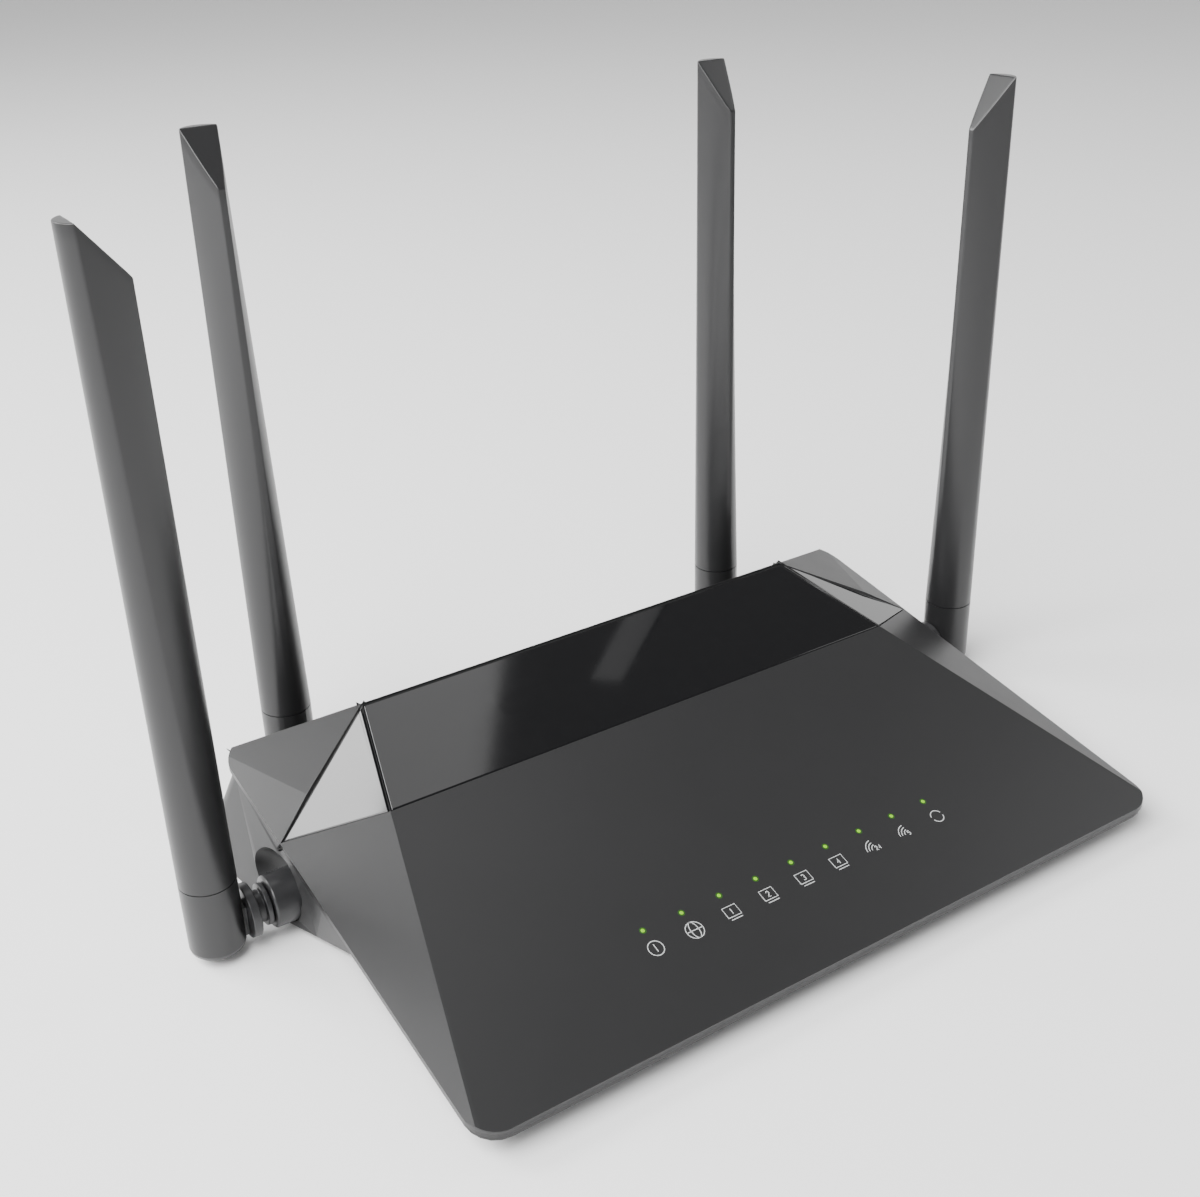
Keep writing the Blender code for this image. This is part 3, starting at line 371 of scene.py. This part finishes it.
low_corner, high_corner = (np.array(corner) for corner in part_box("top_cover"))
HALF_WIDTH = float(high_corner[0])
FRONT_Y = float(low_corner[1])
BACK_Y = float(high_corner[1])
RIM_FRONT_Z = 0.0090
RIM_RISE = 0.1717
FRONT_SLOPE = 0.2935
SIDE_SLOPE = 0.424
CORNER_SLOPE = 0.500
RIDGE_Y = FRONT_Y + 0.1299
SEAM = (0.0882, FRONT_Y + 0.0916)
SEAM_END_Y = FRONT_Y + 0.1071
CREST_SHARE = 0.68
PLAN_RADIUS = 0.0085
LIP = 0.0016
WALL = 0.0020
PANEL_RECESS = 0.0012
PANEL_GAP = 0.00015
RECESS_DRAFT = 0.00002
CORNER_CUTS = 9
BACK_CORNER_X = 0.090
WIDEST_ROUND = 0.0022
HIP_ROUND = 0.75
BACK_CORNER_ROUND = 0.95
RIM_ROUND = 0.17
RECESS_ROUND = 0.08


def rim_height(y):
    """The cover's edge climbs evenly from the front to the back."""
    return RIM_FRONT_Z + RIM_RISE * (y - FRONT_Y)


def slope_height(y):
    """Height of the large front slope, which also carries the centre gloss panel."""
    return RIM_FRONT_Z + FRONT_SLOPE * (y - FRONT_Y)


def roof_corners(side):
    """Where the roof's planes meet on one side: each height is a plane's rise from the rim or front."""
    ridge_z = slope_height(RIDGE_Y)
    ridge_half = HALF_WIDTH - (ridge_z - rim_height(RIDGE_Y)) / SIDE_SLOPE
    apex = Vector((side * ridge_half, RIDGE_Y, ridge_z))
    seam_end = Vector((side * HALF_WIDTH, SEAM_END_Y, rim_height(SEAM_END_Y)))
    crest = apex.lerp(seam_end, CREST_SHARE)
    crest.z = rim_height(crest.y) + CORNER_SLOPE * (HALF_WIDTH - abs(crest.x))
    return {
        "front": Vector((side * HALF_WIDTH, FRONT_Y, rim_height(FRONT_Y))),
        "back": Vector((side * HALF_WIDTH, BACK_Y, rim_height(BACK_Y))),
        "apex": apex,
        "seam": Vector((side * SEAM[0], SEAM[1], slope_height(SEAM[1]))),
        "seam_end": seam_end,
        "crest": crest,
    }


def cover_skin():
    """The cover's outside: flat facets between the roof's corners, the panels' recesses let into it.

    Its four corners seen from above are rounded by cuts along tangents of the plan radius.
    """
    corners = {side: roof_corners(side) for side in (-1, 1)}
    bm = bmesh.new()
    made = {}

    def at(side, key, drop=0.0):
        spot = (side, key, drop)
        if spot not in made:
            made[spot] = bm.verts.new(corners[side][key] - Vector((0.0, 0.0, drop)))
        return made[spot]

    def face(*keys):
        return bm.faces.new([at(*key) for key in keys])

    face((-1, "front"), (1, "front"), (1, "seam"), (-1, "seam"))
    panels = [face((-1, "seam"), (1, "seam"), (1, "apex"), (-1, "apex"))]
    face((-1, "apex"), (1, "apex"), (1, "back"), (-1, "back"))
    for side in (-1, 1):
        face((side, "front"), (side, "seam"), (side, "seam_end"))
        panels.append(face((side, "seam"), (side, "apex"), (side, "seam_end")))
        face((side, "apex"), (side, "crest"), (side, "seam_end"))
        face((side, "apex"), (side, "back"), (side, "crest"))
        face((side, "crest"), (side, "back"), (side, "seam_end"))
        lower = ((side, "back", LIP), (side, "front", LIP))
        face((side, "front"), (side, "seam_end"), (side, "back"), *lower)
    for end in ("front", "back"):
        face((-1, end), (1, end), (1, end, LIP), (-1, end, LIP))
    face((-1, "front", LIP), (1, "front", LIP), (1, "back", LIP), (-1, "back", LIP))
    bmesh.ops.recalc_face_normals(bm, faces=bm.faces)
    bmesh.ops.inset_individual(bm, faces=panels, thickness=PANEL_GAP, depth=0.0)
    bmesh.ops.inset_individual(bm, faces=panels, thickness=RECESS_DRAFT, depth=-PANEL_RECESS)
    for side_x in (-1, 1):
        for side_y, edge in ((-1, FRONT_Y), (1, BACK_Y)):
            middle = Vector((side_x * (HALF_WIDTH - PLAN_RADIUS), edge - side_y * PLAN_RADIUS, 0.0))
            for i in range(CORNER_CUTS):
                a = math.pi / 2 * (i + 0.5) / CORNER_CUTS
                way = Vector((side_x * math.cos(a), side_y * math.sin(a), 0.0))
                cut = bmesh.ops.bisect_plane(
                    bm,
                    geom=bm.verts[:] + bm.edges[:] + bm.faces[:],
                    plane_co=middle + way * PLAN_RADIUS,
                    plane_no=way,
                    clear_outer=True,
                )
                rim = [part for part in cut["geom_cut"] if isinstance(part, bmesh.types.BMEdge)]
                bmesh.ops.contextual_create(bm, geom=rim)
    bmesh.ops.recalc_face_normals(bm, faces=bm.faces)
    underside = [f for f in bm.faces if f.normal.z < -0.9]
    bmesh.ops.delete(bm, geom=underside, context="FACES_ONLY")
    mesh = bpy.data.meshes.new("top_cover_skin")
    bm.to_mesh(mesh)
    bm.free()
    return mesh


def cover_rounding(mesh):
    """Rounding of each edge as a share of WIDEST_ROUND, from how its two faces lie."""
    bm = bmesh.new()
    bm.from_mesh(mesh)
    share = np.zeros(len(bm.edges), np.float32)
    for edge in bm.edges:
        if len(edge.link_faces) != 2:
            continue
        low, high = sorted(f.normal.z for f in edge.link_faces)
        angle = math.degrees(edge.calc_face_angle_signed())
        middle = (edge.verts[0].co + edge.verts[1].co) / 2
        if low > 0.5 and angle > 3:
            back_corner = abs(middle.x) > BACK_CORNER_X and middle.y > SEAM_END_Y
            share[edge.index] = BACK_CORNER_ROUND if back_corner else HIP_ROUND
        elif low > -0.1 and high > 0.5 and angle > 20:
            at_rim = abs(middle.z - rim_height(middle.y)) < 0.0004
            share[edge.index] = RIM_ROUND if at_rim else RECESS_ROUND
    bm.free()
    return share


cover_mesh = cover_skin()
edge_shares = cover_mesh.attributes.new("bevel_weight_edge", "FLOAT", "EDGE")
edge_shares.data.foreach_set("value", cover_rounding(cover_mesh))
cover_mesh.shade_smooth()
cover = link_piece("cover_shell", cover_mesh, cover_finish, "cover_matt", "router_body", "top_cover")
rounded = cover.modifiers.new("rounded_edges", "BEVEL")
rounded.limit_method = "WEIGHT"
rounded.width = WIDEST_ROUND
rounded.segments = 4
thick = cover.modifiers.new("wall", "SOLIDIFY")
thick.thickness = WALL
thick.offset = -1.0
flat = cover.modifiers.new("flat_shading", "WEIGHTED_NORMAL")
flat.weight = 90
flat.keep_sharp = True

# The marks under the lights are pad printed in pale grey ink, a few hundredths of a millimetre
# thick: power, globe, four numbered screens, two radio bands and a ring of two arcs. Each mark is
# drawn round its own middle in millimetres.
MARK_Y = FRONT_Y + 0.0243
LED_Y = FRONT_Y + 0.03015
LED_FIRST_X = -0.0489
LED_PITCH = 0.01226
INK_STROKE = 0.00025
INK_DEPTH = 0.00003
SURFACE_LIFT = 0.00001
MM = 0.001


def arc(x, y, radius_x, radius_y, start, stop, steps=28):
    """Points of an elliptical arc between two angles in degrees."""
    a = np.radians(np.linspace(start, stop, steps + 1))
    return np.stack([x + radius_x * np.cos(a), y + radius_y * np.sin(a)], axis=1)


def ribbon(path, width):
    """A band of even width along a path: each point moves half the width to both sides of the path."""
    path = np.asarray(path, float)
    along = np.gradient(path, axis=0)
    along /= np.linalg.norm(along, axis=1, keepdims=True)
    aside = np.stack([-along[:, 1], along[:, 0]], axis=1) * width / 2
    return path + aside, path - aside


def digit(number, x, y, tall):
    """The strokes of one figure: straight and round runs in a box half as wide as it is tall."""
    h = tall / 2
    w = tall / 4
    shapes = {
        1: [[(-w * 0.6, h * 0.5), (0, h), (0, -h)]],
        2: [np.vstack([arc(0, h * 0.45, w, h * 0.55, 170, -20, 8), [(-w, -h), (w, -h)]])],
        3: [
            np.vstack(
                [arc(0, h * 0.5, w, h * 0.5, 150, -80, 8), arc(0, -h * 0.5, w, h * 0.5, 80, -150, 8)]
            )
        ],
        4: [[(w, -h * 0.35), (-w, -h * 0.35), (w * 0.4, h), (w * 0.4, -h)]],
        5: [np.vstack([[(w, h), (-w, h), (-w, 0.1 * h)], arc(0, -h * 0.35, w, h * 0.6, 120, -140, 9)])],
    }
    return [np.asarray(stroke, float) + (x, y) for stroke in shapes[number]]


def screen_mark(number):
    """A screen on its stand, with its number."""
    outline = [(-2.1, -1.2), (2.1, -1.2), (2.1, 2.0), (-2.1, 2.0), (-2.1, -1.2)]
    stand = [(-1.7, -2.0), (1.9, -2.0)]
    return [outline, stand, *digit(number, 0.0, 0.4, 1.7)]


def radio_mark(figures):
    """Three arcs of a radio wave beside the figures of its band."""
    waves = [arc(0.6, -1.2, r, r, 95, 175, 12) for r in (3.2, 2.35, 1.5)]
    strokes = []
    x = 0.6
    for figure in figures:
        strokes += digit(figure, x, -0.9, 1.3)
        x += 1.15
    return waves + strokes


power_mark = [arc(0, 0, 2.15, 2.15, 0, 360), [(0.0, 1.3), (0.0, -1.1)]]
globe_mark = [arc(0, 0, 2.5, 2.5, 0, 360), arc(0, 0, 1.15, 2.5, 0, 360), [(-2.5, 0.0), (2.5, 0.0)]]
screen_marks = [screen_mark(number) for number in (1, 2, 3, 4)]
ring_mark = [arc(0, 0, 1.9, 1.9, 20, 170), arc(0, 0, 1.9, 1.9, 200, 350)]
marks = [power_mark, globe_mark, *screen_marks, radio_mark((2, 4)), radio_mark((5,)), ring_mark]

ink_points = []
ink_faces = []
for number, strokes in enumerate(marks):
    centre_x = LED_FIRST_X + LED_PITCH * number
    for path in strokes:
        both_sides = np.stack(ribbon(np.asarray(path, float) * MM, INK_STROKE), axis=1).reshape(-1, 2)
        base = sum(len(block) for block in ink_points)
        x = both_sides[:, 0] + centre_x
        y = both_sides[:, 1] + MARK_Y
        ink_points.append(np.stack([x, y, slope_height(y) + SURFACE_LIFT], axis=1))
        row = base + 2 * np.arange(len(path) - 1)
        ink_faces.append(np.stack([row, row + 1, row + 3, row + 2], axis=1))
ink_mesh = bpy.data.meshes.new("printed_marks")
ink_mesh.from_pydata(np.vstack(ink_points).tolist(), [], np.vstack(ink_faces).tolist())
ink_finish = moulded("mark_ink", (0.42, 0.43, 0.43), 0.55, grain=0.000004, wear=0.0, tone=0.1)
ink = link_piece("printed_marks", ink_mesh, ink_finish, "button_grey", "router_body")
layer = ink.modifiers.new("ink_layer", "SOLIDIFY")
layer.thickness = INK_DEPTH
layer.offset = 1.0

# The three gloss panels are polished black acrylic with rounded edges, pressed into recesses in
# the cover, so that a narrow dark groove stays open between them.
GLOSS_BLACK = (0.004, 0.004, 0.0045)
gloss_finish = moulded(
    "panel_polish", GLOSS_BLACK, 0.07, grain=0.0000015, grain_size=500.0, wear=0.1, tone=0.0
)
for side in ("left", "centre", "right"):
    finished(f"gloss_panel_{side}", gloss_finish, "panel_gloss", width=0.0006, segments=4)

# The light guide is one clear bar of acrylic under the cover, lit yellow-green by the board's
# lamps. Only its nine round tips are seen in the front slope. Round each tip a thin green disc
# glows faintly on the cover: a painted glow that stands for the lamps' light spilling on to it.
LIT_GREEN = (0.42, 1.0, 0.0)
GUIDE_GREEN = (0.05, 0.16, 0.0)
# Colour of the painted glow on the discs round the tips.
PAINTED_HALO_GREEN = (0.008, 0.045, 0.002)
guide_finish = moulded("lit_tip", GUIDE_GREEN, 0.25, grain=0.000004, wear=0.0, tone=0.3)
guide_shader = guide_finish.node_tree.nodes["Principled BSDF"]
guide_shader.inputs["Emission Color"].default_value = (*LIT_GREEN, 1.0)
guide_shader.inputs["Emission Strength"].default_value = 0.80
finished("led_light_guide", guide_finish, "light_guide", width=0.0001)
TIP_RADIUS = 0.00058
TIP_HEIGHT = 0.00014
PAINTED_HALO_RADIUS = 0.00098
PAINTED_HALO_HEIGHT = 0.00002


def domes(name, wide, tall):
    """Nine round domes on the front slope.

    Each rises from its edge by tall times one less the square of its radius as a share of wide.
    """
    around = np.linspace(0.0, 2 * np.pi, 24, endpoint=False)
    shares = np.linspace(1.0, 0.0, 6)
    number, share, angle = np.meshgrid(np.arange(9), shares, around, indexing="ij")
    x = LED_FIRST_X + LED_PITCH * number + share * wide * np.cos(angle)
    y = LED_Y + share * wide * np.sin(angle)
    z = slope_height(y) + tall * (1.0 - share**2) + SURFACE_LIFT
    spots = np.arange(number.size).reshape(number.shape)
    here = spots[:, :-1]
    inner = spots[:, 1:]
    faces = np.stack([here, np.roll(here, -1, axis=2), np.roll(inner, -1, axis=2), inner], axis=-1)
    points = np.stack([x, y, z], axis=-1).reshape(-1, 3)
    mesh = bpy.data.meshes.new(name)
    mesh.from_pydata(points.tolist(), [], faces.reshape(-1, 4).tolist())
    clean(mesh)
    mesh.shade_smooth()
    return mesh


tips_mesh = domes("light_tips", TIP_RADIUS, TIP_HEIGHT)
link_piece("light_tips", tips_mesh, guide_finish, "light_guide", "router_body")
# Painted glow: a faint green emission on a disc round each tip, in place of light spilt from the lamps.
painted_halo_finish = moulded("painted_halo_rim", PAINTED_HALO_GREEN, 0.4, grain=0.000004, wear=0.0)
painted_halo_shader = painted_halo_finish.node_tree.nodes["Principled BSDF"]
painted_halo_shader.inputs["Emission Color"].default_value = (*LIT_GREEN, 1.0)
painted_halo_shader.inputs["Emission Strength"].default_value = 0.03
painted_halo_mesh = domes("painted_halo_rims", PAINTED_HALO_RADIUS, PAINTED_HALO_HEIGHT)
link_piece("painted_halo_rims", painted_halo_mesh, painted_halo_finish, "light_guide", "router_body")

# The lower case is moulded in the same grey, a little rougher, and its lip meets the cover in a
# narrow shadow line. It is undercut in front, flares towards the desk at the back and is scooped
# out round each side collar.
CASE_GREY = (0.016, 0.016, 0.0165)
case_finish = moulded("case_grain", CASE_GREY, 0.40, grain=0.00002, wear=0.2, shine=0.4)
finished("bottom_case", case_finish, "case_matt", width=0.0003, segments=2, smooth=40.0)

# Each antenna blade is a moulded shell of satin grey plastic, clipped on to its round foot. It is
# round below and narrows upwards into an arc on the outside and two flat flanks that meet in a
# narrow inner face, and its tip is cut in a flat cap and a long slant.
OUTWARD_WAY = {
    "side_left": (-1.0, 0.0),
    "rear_left": (0.0, 1.0),
    "rear_right": (0.0, 1.0),
    "side_right": (1.0, 0.0),
}
ROUND_RADIUS = 0.0077
TIP_ARC_RADIUS = 0.00603
TIP_ARC_CENTRE = 0.00142
TIP_HALF_CHORD = 0.0053
TIP_HALF_INNER = 0.0009
TIP_INNER = -0.0073
CUT_DROP = 0.0143
EDGE_ROUND = 0.00035
CAP_HALF = 0.006
POLE_INSET = 0.0008
ARC_TURN = 80.0
INNER_TURN = 172.0
ANTENNA_GREY = (0.015, 0.015, 0.0156)


def blade_sections():
    """Matching points of the round section and the tip section: arc, flank, inner face, flank."""
    reach = math.asin(TIP_HALF_CHORD / TIP_ARC_RADIUS)
    chord = TIP_ARC_CENTRE + TIP_ARC_RADIUS * math.cos(reach)
    s = np.linspace(-1.0, 1.0, 33)
    f = np.linspace(0.0, 1.0, 41)[1:]
    g = np.linspace(1.0, -1.0, 9)[1:-1]
    arc_part = np.stack(
        [TIP_ARC_CENTRE + TIP_ARC_RADIUS * np.cos(s * reach), TIP_ARC_RADIUS * np.sin(s * reach)], axis=1
    )
    flank = np.stack(
        [chord + (TIP_INNER - chord) * f, TIP_HALF_CHORD + (TIP_HALF_INNER - TIP_HALF_CHORD) * f], axis=1
    )
    inner = np.stack([np.full(len(g), TIP_INNER), g * TIP_HALF_INNER], axis=1)
    mirrored = flank[::-1] * (1.0, -1.0)
    tip = np.vstack([arc_part, flank, inner, mirrored])
    flank_turns = ARC_TURN + (INNER_TURN - ARC_TURN) * f
    inner_turns = 180.0 - (180.0 - INNER_TURN) * g
    turns = np.concatenate([s * ARC_TURN, flank_turns, inner_turns, 360.0 - flank_turns[::-1]])
    a = np.radians(turns)
    round_part = ROUND_RADIUS * np.stack([np.cos(a), np.sin(a)], axis=1)
    tip = (np.roll(tip, 1, axis=0) + 2 * tip + np.roll(tip, -1, axis=0)) / 4
    return round_part, tip, chord


def blade_surface(height, levels=48, round_rings=4, cap_rings=8):
    """Points of one upright blade from z = 0 to its height, ring by ring, and its quads.

    A point of the wall is the round section blended into the tip section by its height. The top
    follows height minus CUT_DROP times how far the point lies inwards of the chord, so the cap and
    the slant meet on the chord. The rim is a quarter round, and the cap's rings shrink to a point.
    """
    round_part, tip, chord = blade_sections()

    def top_of(x):
        return height - CUT_DROP * np.clip((chord - x) / (chord - TIP_INNER), 0.0, 1.0)

    def section_at(z):
        share = (z / height)[..., None]
        return round_part * (1.0 - share) + tip * share

    rim = tip
    for _ in range(3):
        rim = section_at(top_of(rim[:, 0]))
    rim_top = top_of(rim[:, 0]) - EDGE_ROUND
    wall_z = np.linspace(0.0, 1.0, levels)[:, None] * rim_top
    wall = np.concatenate([section_at(wall_z), wall_z[..., None]], axis=2)

    pole = np.array([chord - POLE_INSET, 0.0])
    a = (math.pi / 2 * np.arange(1, round_rings + 1) / round_rings)[:, None]
    plan = pole + (rim - pole) * (1.0 - EDGE_ROUND * (1.0 - np.cos(a)) / CAP_HALF)[..., None]
    drop = EDGE_ROUND * (1.0 - np.sin(a))
    quarter_round = np.concatenate([plan, (top_of(plan[..., 0]) - drop)[..., None]], axis=2)

    left_over = 1.0 - np.linspace(0.0, 1.0, cap_rings + 1)[1:, None, None]
    plan = pole + (plan[-1] - pole) * left_over
    cap = np.concatenate([plan, top_of(plan[..., 0])[..., None]], axis=2)

    base = wall[:1] * (0.0, 0.0, 1.0)
    points = np.concatenate([base, wall, quarter_round, cap])
    count = points.shape[1]
    ring, spoke = np.meshgrid(np.arange(len(points) - 1), np.arange(count), indexing="ij")
    here = ring * count + spoke
    beside = ring * count + (spoke + 1) % count
    faces = np.stack([here, beside, beside + count, here + count], axis=-1).reshape(-1, 4)
    return points.reshape(-1, 3), faces


antenna_finish = moulded(
    "antenna_satin", ANTENNA_GREY, 0.30, grain=0.000003, grain_size=1400.0, wear=0.0
)
for name, (out_x, out_y) in OUTWARD_WAY.items():
    low, high = (np.array(corner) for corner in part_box(f"antenna_blade_{name}"))
    foot_low, foot_high = (np.array(corner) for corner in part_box(f"antenna_foot_{name}"))
    stand = (foot_low + foot_high) / 2
    points, faces = blade_surface(float(high[2] - low[2]))
    x, y, z = points.T
    turned = np.stack([x * out_x - y * out_y, x * out_y + y * out_x, z], axis=1)
    turned += (stand[0], stand[1], low[2])
    mesh = bpy.data.meshes.new(f"blade_{name}")
    mesh.from_pydata(turned.tolist(), [], faces.tolist())
    clean(mesh)
    mesh.shade_smooth()
    mesh.set_sharp_from_angle(angle=math.radians(28))
    node = f"antenna_blade_{name}"
    link_piece(f"blade_{name}", mesh, antenna_finish, "antenna_matt", f"antenna_{name}", node)
    finished(f"antenna_foot_{name}", antenna_finish, "antenna_matt", width=0.00015)

# The swivels and their collars are glass-filled nylon, nearly black, turned smooth where they run
# in each other; the pins are plated steel and the elements inside the blades brass.
joint_finish = moulded("joint_nylon", (0.014, 0.014, 0.015), 0.32, grain=0.000012, wear=0.6)
steel_finish = moulded("plated_steel", (0.56, 0.56, 0.57), 0.30, grain=0.000003, metallic=1.0, wear=0.2)
brass_finish = moulded("bare_brass", (0.78, 0.58, 0.27), 0.28, grain=0.000003, metallic=1.0, wear=0.2)
for name in OUTWARD_WAY:
    finished(f"antenna_collar_{name}", joint_finish, "joint_black", width=0.0002)
    finished(f"antenna_swivel_{name}", joint_finish, "joint_black", width=0.00025)
    finished(f"tilt_pin_{name}", steel_finish, "screw_steel", width=0.0002)
    finished(f"antenna_element_{name}", brass_finish, "element_brass", width=0.0001)

# The rear panel is the lower case's own grey. The sockets are black nylon blocks soldered to the
# board, and the button caps are pale enough to find by eye.
finished("rear_panel", case_finish, "case_matt", width=0.00015)
socket_finish = moulded("socket_nylon", (0.020, 0.020, 0.022), 0.38, grain=0.000008)
cap_finish = moulded("button_cap", (0.10, 0.10, 0.105), 0.35, grain=0.000008)
for name in ("wan_socket", "lan_socket_1", "lan_socket_2", "lan_socket_3", "lan_socket_4"):
    finished(name, socket_finish, "socket_black", width=0.00015)
finished("dc_jack", cap_finish, "button_grey", width=0.00015)
finished("power_button", cap_finish, "button_grey", width=0.0002)
finished("wps_button", cap_finish, "button_grey", width=0.0002)

# The feet are moulded rubber pads glued to the underside, and the case screws are plated steel.
rubber_finish = moulded("foot_rubber", (0.022, 0.022, 0.022), 0.80, grain=0.00004, grain_size=1500.0)
for number in range(1, 5):
    finished(f"rubber_foot_{number}", rubber_finish, "foot_rubber", width=0.0001)
    finished(f"case_screw_{number}", steel_finish, "screw_steel", width=0.0001)

# The board is green lacquered laminate with black moulded chips, tinned steel shields over the two
# radios, an aluminium heat sink and four thin grey coaxial leads.
BOARD_GREEN = (0.018, 0.105, 0.045)
SHIELD_GREY = (0.66, 0.66, 0.64)
SINK_GREY = (0.60, 0.60, 0.62)
board_finish = moulded("board_lacquer", BOARD_GREEN, 0.35, grain=0.00001, grain_size=900.0, tone=0.3)
chip_finish = moulded("chip_resin", (0.018, 0.018, 0.019), 0.50, grain=0.00001)
shield_finish = moulded("tinned_steel", SHIELD_GREY, 0.34, grain=0.000005, metallic=1.0, tone=0.2)
sink_finish = moulded("extruded_aluminium", SINK_GREY, 0.42, grain=0.000006, metallic=1.0, wear=0.2)
lead_finish = moulded("lead_sheath", (0.09, 0.09, 0.095), 0.42, grain=0.000004)
finished("main_board", board_finish, "board_green", width=0.0001)
for name in ("main_processor", "memory_chip", "flash_chip", "power_switch", "wps_switch"):
    finished(name, chip_finish, "chip_black", width=0.0001)
for band in ("low", "high"):
    finished(f"radio_shield_{band}_band", shield_finish, "shield_tin", width=0.0002)
finished("heat_sink", sink_finish, "sink_aluminium", width=0.0001)
for number in range(1, 5):
    finished(f"antenna_lead_{number}", lead_finish, "lead_grey", width=0.0)
